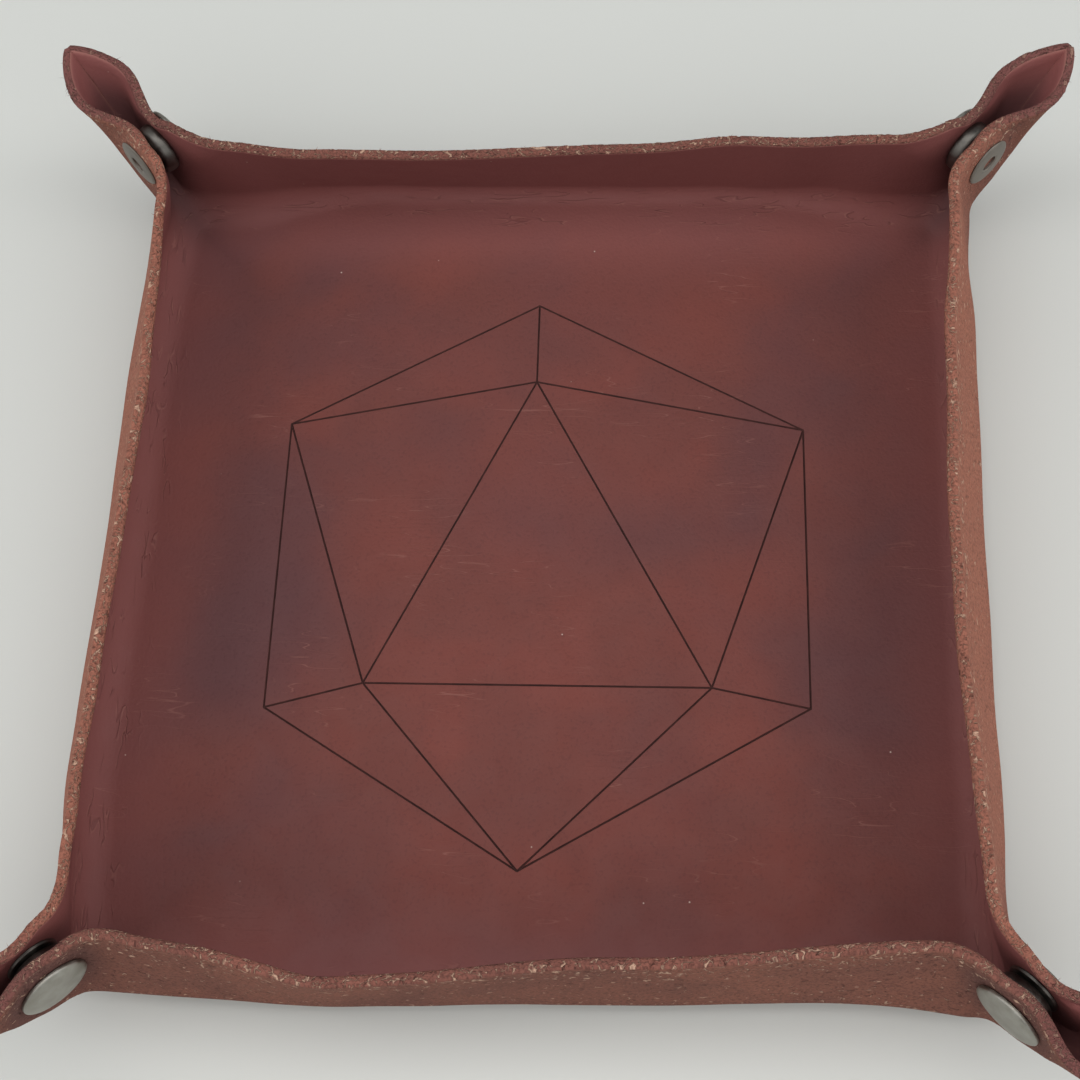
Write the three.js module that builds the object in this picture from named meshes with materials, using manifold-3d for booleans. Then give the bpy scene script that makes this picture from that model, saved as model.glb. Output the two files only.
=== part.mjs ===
// A leather dice tray: one square sheet whose four rims fold up and whose corners pinch into ears,
// each ear closed by a press snap. The sheet is divided at its fold lines, so that the tray can open
// out nearly flat. Millimetres, +Z up, X to the right, Y to the back, origin under the floor's centre.

import * as THREE from 'three';
import { mergeVertices } from 'three/addons/utils/BufferGeometryUtils.js';
import Module from 'manifold-3d';

const wasm = await Module();
wasm.setup();

// Leather sheet: 228.6 square before it is folded
const LEATHER = 2.2;
const FLAT_FLOOR = 156;
const FOLD_RADIUS = 7;
const WALL_LEAN = THREE.MathUtils.degToRad(16);
const CORNER_RADIUS = 7;
const FRONT_BOW = 6.5;
const FRONT_BOW_CENTRE = -17;
const FRONT_BOW_WIDTH = 38;

// Ears
const EAR_TIP_RISE = 2.8;
const EAR_FLARE = 9;
const EAR_FLARE_START = 0.35;
const EAR_TIP_TAPER = 0.6;
const EAR_CLOSING = 6;
const EAR_FOOT = 1.2;

// How far the tray opens: each wall about its fold, each ear half about its corner bend
const WALL_OPENING = THREE.MathUtils.degToRad(90);
const EAR_OPENING = THREE.MathUtils.degToRad(40);

// Press snaps
const SNAP_ABOVE_FOLD = 13.78;
const SNAP_BELOW_RIM = 9.57;
const SNAP_PLACE = 0.27;
const SNAP_SEAT_MARGIN = 0.6;
const CAP_DIAMETER = 13;
const CAP_HEIGHT = 2;
const CAP_RIM = 0.7;
const RIVET_DIAMETER = 3.8;
const RIVET_FLARE = 5.2;
const RIVET_FLARE_HEIGHT = 0.35;
const SOCKET_DIAMETER = 10.9;
const SOCKET_HEIGHT = 3.1;
const SOCKET_PLATE = 0.6;
const SOCKET_LIP = 0.5;
const SOCKET_SHOULDER = 0.8;
const SPRING_WIRE = 0.7;
const SPRING_OPENING = THREE.MathUtils.degToRad(40);
const STUD_FLANGE_DIAMETER = 10;
const STUD_FLANGE = 0.85;
const STUD_BALL_DIAMETER = 5.9;
const STUD_NECK_DIAMETER = 5.3;
const STUD_NECK = 0.4;
const STUD_SHOULDER = 0.5;
const POST_FLANGE_DIAMETER = 10.4;
const POST_FLANGE = 0.8;
const POST_DIAMETER = 4.1;
const POST_BORE = 3.3;
const POST_ROLL = 0.45;
const EDGE = 0.3;

// Clearances
const GAP = 0.3;
const SNAP_CLEARANCE = 0.45;

// Facets
const TURN_STEPS = 16;
const FOLD_STEPS = 4;
const WALL_STEPS = 8;
const ARC_STEPS = 2;
const LEVEL_STEPS = 4;
const SEAT_STEPS = 2;
const CLOSING_STEPS = 7;
const NOSE_STEPS = 4;
const BORE_STEPS = 20;
const DOME_STEPS = 4;
const WIRE_STEPS = 6;
const SLOPE_STEP = 1e-3;

const DIAGONAL = Math.SQRT1_2;
const HALF_LEATHER = LEATHER / 2;

const leatherDye = { color: 0x5a2a22, roughness: 0.55, metalness: 0 };
const nickel = { color: 0x8d8a84, roughness: 0.35, metalness: 1 };
const springSteel = { color: 0xa9a59c, roughness: 0.3, metalness: 1 };

// Cross-section of the sheet: flat floor, fold, then a wall that leans in.
// d is the distance from the sheet's centre, measured along the leather's middle.
const foldStart = FLAT_FLOOR / 2;
const foldAngle = Math.PI / 2 + WALL_LEAN;
const foldMiddle = foldStart + (FOLD_RADIUS * foldAngle) / 2;
const foldEnd = foldStart + FOLD_RADIUS * foldAngle;
const snapLevel = foldEnd + SNAP_ABOVE_FOLD;
const sheetEdge = snapLevel + SNAP_BELOW_RIM;

function foldPoint(angle, radius) {
  return {
    out: foldStart + radius * Math.sin(angle),
    up: HALF_LEATHER + FOLD_RADIUS - radius * Math.cos(angle),
  };
}

function profile(d) {
  const onFold = Math.min(d, foldEnd);
  const { out, up } = foldPoint((onFold - foldStart) / FOLD_RADIUS, FOLD_RADIUS);
  const beyond = d - onFold;
  return { out: out - beyond * Math.sin(WALL_LEAN), up: up + beyond * Math.cos(WALL_LEAN) };
}

// Each wall turns about the outer skin at the middle of its fold.
const wallHinge = foldPoint(foldAngle / 2, FOLD_RADIUS + HALF_LEATHER);

// An ear's two halves stand this far from the diagonal plane, with a closed snap between them.
const earOffset = (SOCKET_HEIGHT + STUD_FLANGE + 3 * GAP) / 2 + HALF_LEATHER;

// Corner bend of the back wall's right end: an eighth of a turn, from the wall to the diagonal.
const cornerTurn = Math.PI / 4;

function cornerBend(d, turn, radius) {
  const { out, up } = profile(d);
  const start = out - CORNER_RADIUS * Math.tan(cornerTurn / 2) - earOffset / DIAGONAL;
  return new THREE.Vector3(
    start + radius * Math.sin(turn),
    out + CORNER_RADIUS - radius * Math.cos(turn),
    up,
  );
}

// Each ear half turns about the grain skin at the middle of its corner bend.
const earHingeFoot = cornerBend(foldEnd, cornerTurn / 2, CORNER_RADIUS + HALF_LEATHER);
const earHingeTop = cornerBend(sheetEdge, cornerTurn / 2, CORNER_RADIUS + HALF_LEATHER);
const earHingeAxis = earHingeTop.clone().sub(earHingeFoot).normalize();

function turnAbout(point, axis, angle) {
  const turn = new THREE.Matrix4().makeRotationAxis(axis, angle);
  const there = new THREE.Matrix4().makeTranslation(point.x, point.y, point.z);
  const back = new THREE.Matrix4().makeTranslation(-point.x, -point.y, -point.z);
  return there.multiply(turn).multiply(back);
}

// The ear's fold line: the halves meet at the diagonal plane both when closed and when opened, so the
// line is where that plane is crossed by the same plane carried back by the opening motion.
const across = new THREE.Vector3(-DIAGONAL, DIAGONAL, 0);
const noseOffset = HALF_LEATHER + GAP / 2;

const openMotion = turnAbout(
  new THREE.Vector3(0, wallHinge.out, wallHinge.up), new THREE.Vector3(-1, 0, 0), WALL_OPENING,
).multiply(turnAbout(earHingeFoot, earHingeAxis, -EAR_OPENING));

const carriedBack = new THREE.Plane(across.clone(), -noseOffset).applyMatrix4(openMotion.clone().invert());

// Reach along the diagonal of the fold line at a height.
function foldLineReach(up) {
  const onPlane = across.clone().multiplyScalar(noseOffset).setZ(up);
  const along = new THREE.Vector3(DIAGONAL, DIAGONAL, 0);
  return -carriedBack.distanceToPoint(onPlane) / carriedBack.normal.dot(along);
}

// Reach along the diagonal at which the corner bend ends and an ear half lies along the diagonal.
function bendReach(d) {
  const { x, y } = cornerBend(d, cornerTurn, CORNER_RADIUS);
  return (x + y) * DIAGONAL;
}

// The snap stands at its own level, part of the way from the corner bend to the ear's fold line.
const snapHeight = profile(snapLevel).up;
const snapReach = THREE.MathUtils.lerp(bendReach(snapLevel), foldLineReach(snapHeight), SNAP_PLACE);

const earFootLevel = foldEnd + EAR_FOOT;

// Ear half in diagonal coordinates: reach along the diagonal, q away from the diagonal plane.
function fromDiagonal(reach, q, up) {
  return new THREE.Vector3(DIAGONAL * (reach - q), DIAGONAL * (reach + q), up);
}

function bezier(a, b, c, d, t) {
  const s = 1 - t;
  return a * s ** 3 + 3 * b * s * s * t + 3 * c * s * t * t + d * t ** 3;
}

// One level of an ear half: half the corner bend, a flat seat for the snap, then a flare that closes at
// the fold line.
// t runs 0 to 1 over the bend, 1 to 2 over the seat and 2 to 3 over the closing curve.
function earPoint(t, d) {
  const share = (d - earFootLevel) / (sheetEdge - earFootLevel);
  const { up } = profile(d);
  const cutShare = GAP / CORNER_RADIUS / cornerTurn;
  if (t <= 1) {
    return cornerBend(d, cornerTurn * THREE.MathUtils.lerp(0.5 + cutShare, 1, t), CORNER_RADIUS);
  }
  const foldUp = up + EAR_TIP_RISE * share;
  const foldReach = foldLineReach(foldUp);
  const seatEnd = Math.min(snapReach + CAP_DIAMETER / 2 + SNAP_SEAT_MARGIN, foldReach - EAR_CLOSING);
  if (t <= 2) {
    return fromDiagonal(THREE.MathUtils.lerp(bendReach(d), seatEnd, t - 1), earOffset, up);
  }
  const length = foldReach - seatEnd;
  const flareStart = seatEnd + EAR_FLARE_START * length;
  const taperStart = foldReach - EAR_TIP_TAPER * length;
  const reach = bezier(seatEnd, flareStart, taperStart, foldReach, t - 2);
  const q = bezier(earOffset, earOffset, earOffset + EAR_FLARE * share * share, noseOffset, t - 2);
  return fromDiagonal(reach, q, THREE.MathUtils.lerp(up, foldUp, THREE.MathUtils.smoothstep(t, 2, 3)));
}

// Directions on an ear half, by small steps. At a joint between two curves the earlier one counts.
function earAlong(t, d) {
  const from = Math.max(t - SLOPE_STEP, 0);
  return earPoint(from + SLOPE_STEP, d).sub(earPoint(from, d)).normalize();
}

function earNormal(t, d) {
  const rise = earPoint(t, d + SLOPE_STEP).sub(earPoint(t, d - SLOPE_STEP));
  return rise.cross(earAlong(t, d)).normalize();
}

// A closed shell through loops of points, one loop for each level, with the ends closed by strips that
// pair the loop's two sides.
function loftLoops(loops, flipped) {
  const size = loops[0].length;
  const triangles = [];
  const quad = (a, b, c, d) => triangles.push(a, b, c, a, c, d);
  for (let level = 0; level + 1 < loops.length; level += 1) {
    for (let i = 0; i < size; i += 1) {
      const next = (i + 1) % size;
      quad(level * size + i, (level + 1) * size + i, (level + 1) * size + next, level * size + next);
    }
  }
  const last = (loops.length - 1) * size;
  for (let i = 0; i + 1 < size - 1 - i; i += 1) {
    const [a, b, c, d] = [i, i + 1, size - 2 - i, size - 1 - i];
    if (b === c) {
      triangles.push(a, b, d, last + a, last + d, last + b);
    } else {
      quad(a, b, c, d);
      quad(last + a, last + d, last + c, last + b);
    }
  }
  if (flipped) triangles.reverse();
  const geometry = new THREE.BufferGeometry().setFromPoints(loops.flat());
  geometry.setIndex(triangles);
  return geometry;
}

// A side of the tray: swap turns the back wall's shape into the right wall's, and the signs mirror it.
function mirrored(point, side) {
  const [x, y] = side.swap ? [point.y, point.x] : [point.x, point.y];
  return new THREE.Vector3(side.x * x, side.y * y, point.z);
}

function turnsOver(side) {
  return (side.swap ? -1 : 1) * side.x * side.y < 0;
}

// Wall panel, from the middle of its fold to the rim, with half a corner bend at each end.
function wallPanel(side) {
  const cut = GAP / 2;
  const cutTurn = cornerTurn / 2;
  const levels = [];
  for (let i = 0; i <= FOLD_STEPS; i += 1) {
    levels.push(THREE.MathUtils.lerp(foldMiddle + cut, foldEnd, i / FOLD_STEPS));
  }
  for (let i = 0; i <= LEVEL_STEPS; i += 1) {
    levels.push(THREE.MathUtils.lerp(foldEnd + EAR_FOOT / 2, sheetEdge, i / LEVEL_STEPS));
  }
  const loops = levels.map((d) => wallLoop(d, cutTurn, side));
  return loftLoops(loops, turnsOver(side));
}

function wallLoop(d, cutTurn, side) {
  const { out, up } = profile(d);
  const onFold = d <= foldEnd;
  const slope = Math.min((d - foldStart) / FOLD_RADIUS, foldAngle);
  const square = new THREE.Vector3(0, Math.sin(slope), -Math.cos(slope));
  const straight = cornerBend(onFold ? foldEnd : d, 0, CORNER_RADIUS).x;
  const height = Math.max(0, (d - foldEnd) / (sheetEdge - foldEnd));
  const outer = [];
  const inner = [];
  const add = (middle, normal) => {
    outer.push(middle.clone().addScaledVector(normal, HALF_LEATHER));
    inner.push(middle.clone().addScaledVector(normal, -HALF_LEATHER));
  };
  const columns = WALL_STEPS + 2 * ARC_STEPS;
  for (let i = 0; i <= columns; i += 1) {
    const past = Math.max(ARC_STEPS - i, i - WALL_STEPS - ARC_STEPS, 0) / ARC_STEPS;
    const hand = i < columns / 2 ? -1 : 1;
    const x = straight * THREE.MathUtils.clamp((2 * (i - ARC_STEPS)) / WALL_STEPS - 1, -1, 1);
    if (past === 0) {
      const bow = side.bow * height * Math.exp(-(((x - FRONT_BOW_CENTRE) / FRONT_BOW_WIDTH) ** 2));
      add(new THREE.Vector3(x, out + bow, up), square);
    } else if (onFold) {
      add(new THREE.Vector3(hand * THREE.MathUtils.lerp(straight, out, past), out, up), square);
      for (const skin of [outer.at(-1), inner.at(-1)]) {
        const mitre = skin.y - GAP * DIAGONAL;
        skin.x = hand * THREE.MathUtils.lerp(straight, mitre, past);
      }
    } else {
      const turn = cutTurn * past;
      const middle = cornerBend(d, turn, CORNER_RADIUS);
      const along = new THREE.Vector3(Math.cos(turn), Math.sin(turn), 0);
      const normal = earHingeAxis.clone().cross(along).normalize();
      middle.x *= hand;
      normal.x *= hand;
      add(middle, normal);
    }
  }
  return [...outer, ...inner.reverse()].map((point) => mirrored(point, side));
}

// Ear half, with a rounded edge along the fold line and a hole for the snap's tube.
function earHalf(side, holeDiameter) {
  const stations = [];
  for (let i = 0; i <= ARC_STEPS; i += 1) stations.push(i / ARC_STEPS);
  for (let i = 1; i <= SEAT_STEPS; i += 1) stations.push(1 + i / SEAT_STEPS);
  for (let i = 1; i <= CLOSING_STEPS; i += 1) stations.push(2 + i / CLOSING_STEPS);
  const loops = [];
  for (let i = 0; i <= LEVEL_STEPS + 1; i += 1) {
    loops.push(earLoop(stations, THREE.MathUtils.lerp(earFootLevel, sheetEdge, i / (LEVEL_STEPS + 1))));
  }
  const shell = loftLoops(loops, false);
  const depth = 2 * earOffset;
  const drill = new THREE.CylinderGeometry(holeDiameter / 2, holeDiameter / 2, depth, BORE_STEPS);
  drill.applyMatrix4(new THREE.Matrix4().lookAt(across, new THREE.Vector3(), new THREE.Vector3(0, 0, 1))
    .multiply(new THREE.Matrix4().makeRotationX(Math.PI / 2)));
  const seat = fromDiagonal(snapReach, earOffset, snapHeight);
  drill.translate(seat.x, seat.y, seat.z);
  return reflect(subtract(shell, drill), side);
}

function earLoop(stations, d) {
  const outer = [];
  const inner = [];
  for (const t of stations) {
    const middle = earPoint(t, d);
    const normal = earNormal(t, d);
    outer.push(middle.clone().addScaledVector(normal, HALF_LEATHER));
    inner.push(middle.clone().addScaledVector(normal, -HALF_LEATHER));
  }
  const tip = earPoint(3, d);
  const normal = earNormal(3, d);
  const along = earAlong(3, d);
  const nose = [];
  for (let i = 1; i < NOSE_STEPS; i += 1) {
    const turn = (Math.PI * i) / NOSE_STEPS;
    nose.push(tip.clone().addScaledVector(normal, HALF_LEATHER * Math.cos(turn))
      .addScaledVector(along, HALF_LEATHER * Math.sin(turn)));
  }
  return [...outer, ...nose, ...inner.reverse()];
}

// Floor panel: a flat square whose edges start the fold, turned in four steps so that its corners mitre.
function floorPanel() {
  const cutAngle = foldAngle / 2 - GAP / 2 / FOLD_RADIUS;
  const outline = [new THREE.Vector2(0, 0)];
  const skin = (radius, i) => {
    const { out, up } = foldPoint((cutAngle * i) / FOLD_STEPS, radius);
    outline.push(new THREE.Vector2(out / DIAGONAL, up));
  };
  for (let i = 0; i <= FOLD_STEPS; i += 1) skin(FOLD_RADIUS + HALF_LEATHER, i);
  for (let i = FOLD_STEPS; i >= 0; i -= 1) skin(FOLD_RADIUS - HALF_LEATHER, i);
  outline.push(new THREE.Vector2(0, LEATHER));
  const geometry = new THREE.LatheGeometry(outline, 4, Math.PI / 4);
  return geometry.rotateX(Math.PI / 2);
}

// Snap pieces are turned about the snap's axis. In their profiles, along grows from the stud's leaf
// to the cap's leaf and is zero at the diagonal plane.
const capLeafIn = earOffset - HALF_LEATHER;
const capLeafOut = earOffset + HALF_LEATHER;
const socketBack = capLeafIn - GAP;
const socketMouth = socketBack - SOCKET_HEIGHT;
const socketPlateFront = socketBack - SOCKET_PLATE;
const rivetFlareBack = socketPlateFront - GAP;
const rivetFlareFront = rivetFlareBack - RIVET_FLARE_HEIGHT;
const studLeafIn = -capLeafIn;
const studLeafOut = -capLeafOut;
const studBack = studLeafIn + GAP;
const studFlangeFront = studBack + STUD_FLANGE;
const studTop = rivetFlareFront - GAP;
const mouthRadius = STUD_BALL_DIAMETER / 2 + SNAP_CLEARANCE;
const springRadius = mouthRadius + SPRING_WIRE / 2;
const rivetHole = RIVET_DIAMETER + 2 * GAP;
const postHole = POST_DIAMETER + 2 * GAP;

// A cap on the front or back wall's leaf: a low dome on a short rim, with a rivet that is spread inside
// the socket.
function capOutline() {
  const radius = CAP_DIAMETER / 2;
  const seat = capLeafOut + GAP;
  const tube = RIVET_DIAMETER / 2;
  const outline = [
    [0, rivetFlareFront],
    [RIVET_FLARE / 2, rivetFlareFront],
    [RIVET_FLARE / 2, rivetFlareBack],
    [tube, rivetFlareBack],
    [tube, seat],
    [radius - EDGE, seat],
    [radius, seat + EDGE],
  ];
  for (let i = 0; i < DOME_STEPS; i += 1) {
    const turn = (Math.PI / 2) * (i / DOME_STEPS);
    outline.push([radius * Math.cos(turn), seat + CAP_RIM + (CAP_HEIGHT - CAP_RIM) * Math.sin(turn)]);
  }
  outline.push([0, seat + CAP_HEIGHT]);
  return outline;
}

// A socket inside the cap's leaf: a cup whose lip keeps the spring ring in.
function socketOutline() {
  const radius = SOCKET_DIAMETER / 2;
  const groove = springRadius + SPRING_WIRE / 2 + GAP;
  const hole = rivetHole / 2;
  return [
    [hole, socketPlateFront],
    [groove, socketPlateFront],
    [groove, socketMouth + SOCKET_LIP],
    [mouthRadius, socketMouth + SOCKET_LIP],
    [mouthRadius, socketMouth + EDGE],
    [mouthRadius + EDGE, socketMouth],
    [radius - SOCKET_SHOULDER, socketMouth],
    [radius, socketMouth + SOCKET_SHOULDER],
    [radius, socketBack - EDGE],
    [radius - EDGE, socketBack],
    [hole, socketBack],
    [hole, socketPlateFront],
  ];
}

// A stud inside the other leaf: a flange and a hollow ball with a neck for the spring ring.
function studOutline() {
  const flange = STUD_FLANGE_DIAMETER / 2;
  const ball = STUD_BALL_DIAMETER / 2;
  const neck = STUD_NECK_DIAMETER / 2;
  const bore = postHole / 2;
  const neckEnd = studFlangeFront + STUD_NECK;
  return [
    [bore, studBack],
    [flange, studBack],
    [flange, studFlangeFront - EDGE],
    [flange - EDGE, studFlangeFront],
    [neck, studFlangeFront],
    [neck, neckEnd],
    [ball, neckEnd + STUD_SHOULDER],
    [ball, studTop - EDGE],
    [ball - EDGE, studTop],
    [bore + EDGE, studTop],
    [bore, studTop - EDGE],
    [bore, studBack],
  ];
}

// A post outside the stud's leaf: a flat eyelet flange with a rolled mouth, on a tube inside the stud.
function postOutline() {
  const radius = POST_FLANGE_DIAMETER / 2;
  const bore = POST_BORE / 2;
  const tube = POST_DIAMETER / 2;
  const seat = studLeafOut - GAP;
  const face = seat - POST_FLANGE;
  const tubeEnd = studTop - GAP;
  return [
    [bore, face + POST_ROLL],
    [bore + POST_ROLL, face],
    [radius - POST_ROLL, face],
    [radius, face + POST_ROLL],
    [radius, seat],
    [tube, seat],
    [tube, tubeEnd],
    [bore, tubeEnd],
    [bore, face + POST_ROLL],
  ];
}

function turned(outline) {
  const points = outline.map(([radius, along]) => new THREE.Vector2(radius, along));
  return new THREE.LatheGeometry(points, TURN_STEPS);
}

// The socket's spring: an open ring of round wire.
function springRing() {
  class Arc extends THREE.Curve {
    getPoint(t, target = new THREE.Vector3()) {
      const turn = SPRING_OPENING / 2 + t * (2 * Math.PI - SPRING_OPENING);
      const along = socketMouth + SOCKET_LIP + GAP + SPRING_WIRE / 2;
      return target.set(springRadius * Math.cos(turn), along, springRadius * Math.sin(turn));
    }
  }
  const section = new THREE.Shape().absarc(0, 0, SPRING_WIRE / 2, 0, 2 * Math.PI);
  return new THREE.ExtrudeGeometry(section, {
    extrudePath: new Arc(), steps: TURN_STEPS, curveSegments: WIRE_STEPS, bevelEnabled: false,
  });
}

// Boolean cuts need closed meshes whose shared vertices are merged.
function toSolid(geometry) {
  const bare = geometry.clone();
  bare.deleteAttribute('normal');
  bare.deleteAttribute('uv');
  const merged = mergeVertices(bare, 1e-5);
  return new wasm.Manifold(new wasm.Mesh({
    numProp: 3,
    vertProperties: new Float32Array(merged.attributes.position.array),
    triVerts: new Uint32Array(merged.index.array),
  }));
}

function subtract(body, tool) {
  const mesh = toSolid(body).subtract(toSolid(tool)).getMesh();
  const geometry = new THREE.BufferGeometry();
  geometry.setAttribute('position', new THREE.BufferAttribute(mesh.vertProperties, 3));
  geometry.setIndex(new THREE.BufferAttribute(mesh.triVerts, 1));
  return geometry;
}

// A geometry carried to another side of the tray, with its faces still pointing out.
function reflect(geometry, side) {
  const position = geometry.attributes.position;
  const point = new THREE.Vector3();
  for (let i = 0; i < position.count; i += 1) {
    const moved = mirrored(point.fromBufferAttribute(position, i), side);
    position.setXYZ(i, moved.x, moved.y, moved.z);
  }
  if (turnsOver(side)) geometry.setIndex(Array.from(geometry.index.array).reverse());
  return geometry;
}

const tray = new THREE.Group();

function addPiece(parent, name, geometry, look) {
  const mesh = new THREE.Mesh(geometry, new THREE.MeshStandardMaterial(look));
  mesh.name = name;
  parent.add(mesh);
}

addPiece(tray, 'floor_panel', floorPanel(), leatherDye);

const walls = {
  wall_back: { swap: false, x: 1, y: 1, bow: 0 },
  wall_front: { swap: false, x: 1, y: -1, bow: FRONT_BOW },
  wall_right: { swap: true, x: 1, y: 1, bow: 0 },
  wall_left: { swap: true, x: -1, y: 1, bow: 0 },
};
for (const [name, side] of Object.entries(walls)) addPiece(tray, name, wallPanel(side), leatherDye);

// Corners: caps and sockets on the front and back walls' ear halves, studs and posts on the side walls'.
const corners = {
  back_right: { x: 1, y: 1 },
  back_left: { x: -1, y: 1 },
  front_right: { x: 1, y: -1 },
  front_left: { x: -1, y: -1 },
};
for (const [corner, { x, y }] of Object.entries(corners)) {
  addPiece(tray, `${corner}_cap_leaf`, earHalf({ swap: false, x, y }, rivetHole), leatherDye);
  addPiece(tray, `${corner}_stud_leaf`, earHalf({ swap: true, x, y }, postHole), leatherDye);

  const snap = new THREE.Group();
  const middle = mirrored(fromDiagonal(snapReach, 0, snapHeight), { x, y });
  const axis = mirrored(across, { x, y });
  snap.position.copy(middle);
  snap.quaternion.setFromUnitVectors(new THREE.Vector3(0, 1, 0), axis);
  addPiece(snap, `${corner}_cap`, turned(capOutline()), nickel);
  addPiece(snap, `${corner}_socket`, turned(socketOutline()), nickel);
  addPiece(snap, `${corner}_socket_spring`, springRing(), springSteel);
  addPiece(snap, `${corner}_stud`, turned(studOutline()), nickel);
  addPiece(snap, `${corner}_post`, turned(postOutline()), nickel);
  tray.add(snap);
}

export default tray;
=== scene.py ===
"""A leather dice tray: one folded sheet with four pinched ears, each closed by a press snap."""

import logging
import math
from dataclasses import dataclass, field
from enum import Enum

import bmesh
import bpy
import numpy as np
from mathutils import Matrix, Vector
from mathutils.geometry import delaunay_2d_cdt


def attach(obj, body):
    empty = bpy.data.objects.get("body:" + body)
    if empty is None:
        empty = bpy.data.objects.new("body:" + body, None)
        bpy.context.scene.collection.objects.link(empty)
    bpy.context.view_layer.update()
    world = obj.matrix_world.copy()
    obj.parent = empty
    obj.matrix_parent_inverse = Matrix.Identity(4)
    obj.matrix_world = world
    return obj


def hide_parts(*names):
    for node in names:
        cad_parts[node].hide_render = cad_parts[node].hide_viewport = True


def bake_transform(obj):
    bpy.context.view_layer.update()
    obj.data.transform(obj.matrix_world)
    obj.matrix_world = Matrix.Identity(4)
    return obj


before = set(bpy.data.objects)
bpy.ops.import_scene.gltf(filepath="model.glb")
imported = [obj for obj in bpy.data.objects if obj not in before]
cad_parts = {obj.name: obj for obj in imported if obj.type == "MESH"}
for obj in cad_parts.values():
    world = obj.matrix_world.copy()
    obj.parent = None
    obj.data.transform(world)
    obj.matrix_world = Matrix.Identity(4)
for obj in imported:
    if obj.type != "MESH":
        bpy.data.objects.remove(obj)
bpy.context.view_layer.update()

LOG = logging.getLogger("dice_tray")
MM = 0.001
DIAGONAL = math.sqrt(0.5)
TINY = 1e-6
SHEET_SIZE = 228.6
WALL_LEAN = 16.0
FOLD_RADIUS = 7.0
SNAP_REACH = 119.55
SNAP_HEIGHT = 23.27
Feed = bpy.types.NodeSocket | float | tuple
Layers = tuple[bpy.types.NodeSocket, bpy.types.NodeSocket, bpy.types.NodeSocket]


class Side(Enum):
    """A side of the tray: whether x and y change places, the two signs and the wall's body."""

    BACK = (False, 1, 1, "wall_back")
    FRONT = (False, 1, -1, "wall_front")
    RIGHT = (True, 1, 1, "wall_right")
    LEFT = (True, -1, 1, "wall_left")

    @property
    def body(self) -> str:
        """The CAD body and node of this side's wall."""
        return self.value[3]

    def place(self, points: np.ndarray) -> np.ndarray:
        """Carry points from the back wall's frame to this side.

        Args:
            points: Array whose last axis is x, y, z.

        Returns:
            The points on this side, in the same units.
        """
        swap, sign_x, sign_y, _ = self.value
        order = [1, 0, 2] if swap else [0, 1, 2]
        return points[..., order] * np.array([sign_x, sign_y, 1.0])

    @property
    def turns_over(self) -> bool:
        """Whether placing a mesh on this side turns its faces inside out."""
        swap, sign_x, sign_y, _ = self.value
        return (-1 if swap else 1) * sign_x * sign_y < 0


class Corner(Enum):
    """A corner of the tray by its signs in x and y."""

    BACK_RIGHT = (1, 1)
    BACK_LEFT = (-1, 1)
    FRONT_RIGHT = (1, -1)
    FRONT_LEFT = (-1, -1)

    @property
    def label(self) -> str:
        """The corner's name in the CAD nodes."""
        return self.name.lower()


class Skin(Enum):
    """Material slots of a leather panel."""

    GRAIN = 0
    FLESH = 1
    EDGE = 2
    BURNT = 3


def smoothstep(low: float, high: float, value: np.ndarray) -> np.ndarray:
    """Rise from 0 to 1 between two limits as 3t^2 - 2t^3."""
    t = np.clip((value - low) / (high - low), 0.0, 1.0)
    return t * t * (3.0 - 2.0 * t)


def lerp(a: np.ndarray, b: np.ndarray, t: np.ndarray) -> np.ndarray:
    """Go from a to b by the share t."""
    return a + (b - a) * t


def bezier(a: np.ndarray, b: np.ndarray, c: np.ndarray, d: np.ndarray, t: np.ndarray) -> np.ndarray:
    """Cubic curve through a and d with the handles b and c."""
    s = 1.0 - t
    return a * s**3 + 3 * b * s * s * t + 3 * c * s * t * t + d * t**3


def curve_through(places: np.ndarray, values: np.ndarray, at: np.ndarray) -> np.ndarray:
    """Smooth curve through given values: a cubic in each gap, with slopes taken from the neighbours.

    Args:
        places: Rising places of the given values.
        values: The values there.
        at: Places to work the curve out at, held to the first and last place.

    Returns:
        The curve's values, in the shape of at.
    """
    slopes = np.gradient(values, places)
    at = np.clip(at, places[0], places[-1])
    low = np.clip(np.searchsorted(places, at) - 1, 0, len(places) - 2)
    gap = places[low + 1] - places[low]
    t = (at - places[low]) / gap
    first = values[low] + slopes[low] * gap / 3
    last = values[low + 1] - slopes[low + 1] * gap / 3
    return bezier(values[low], first, last, values[low + 1], t)


@dataclass(frozen=True)
class Sway:
    """How a wall differs along its side, at places along it and at its two ends.

    The leans are in degrees, and the shifts are how much further out the fold begins.
    """

    places: tuple
    leans: tuple
    shifts: tuple
    end_leans: tuple = (WALL_LEAN, WALL_LEAN)
    radius: float = FOLD_RADIUS


def make_object(name: str, points: np.ndarray, faces: list, materials: list) -> bpy.types.Object:
    """Make a mesh object in metres from points in millimetres.

    Args:
        name: Piece name.
        points: Array of x, y, z in millimetres.
        faces: Vertex indices of each face.
        materials: Materials for the slots, in order.

    Returns:
        The object, linked to the scene and smooth shaded.
    """
    mesh = bpy.data.meshes.new(name)
    mesh.from_pydata((points.reshape(-1, 3) * MM).tolist(), [], faces)
    mesh.polygons.foreach_set("use_smooth", np.ones(len(mesh.polygons), bool))
    for material in materials:
        mesh.materials.append(material)
    made = bpy.data.objects.new(name, mesh)
    bpy.context.scene.collection.objects.link(made)
    return made


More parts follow.
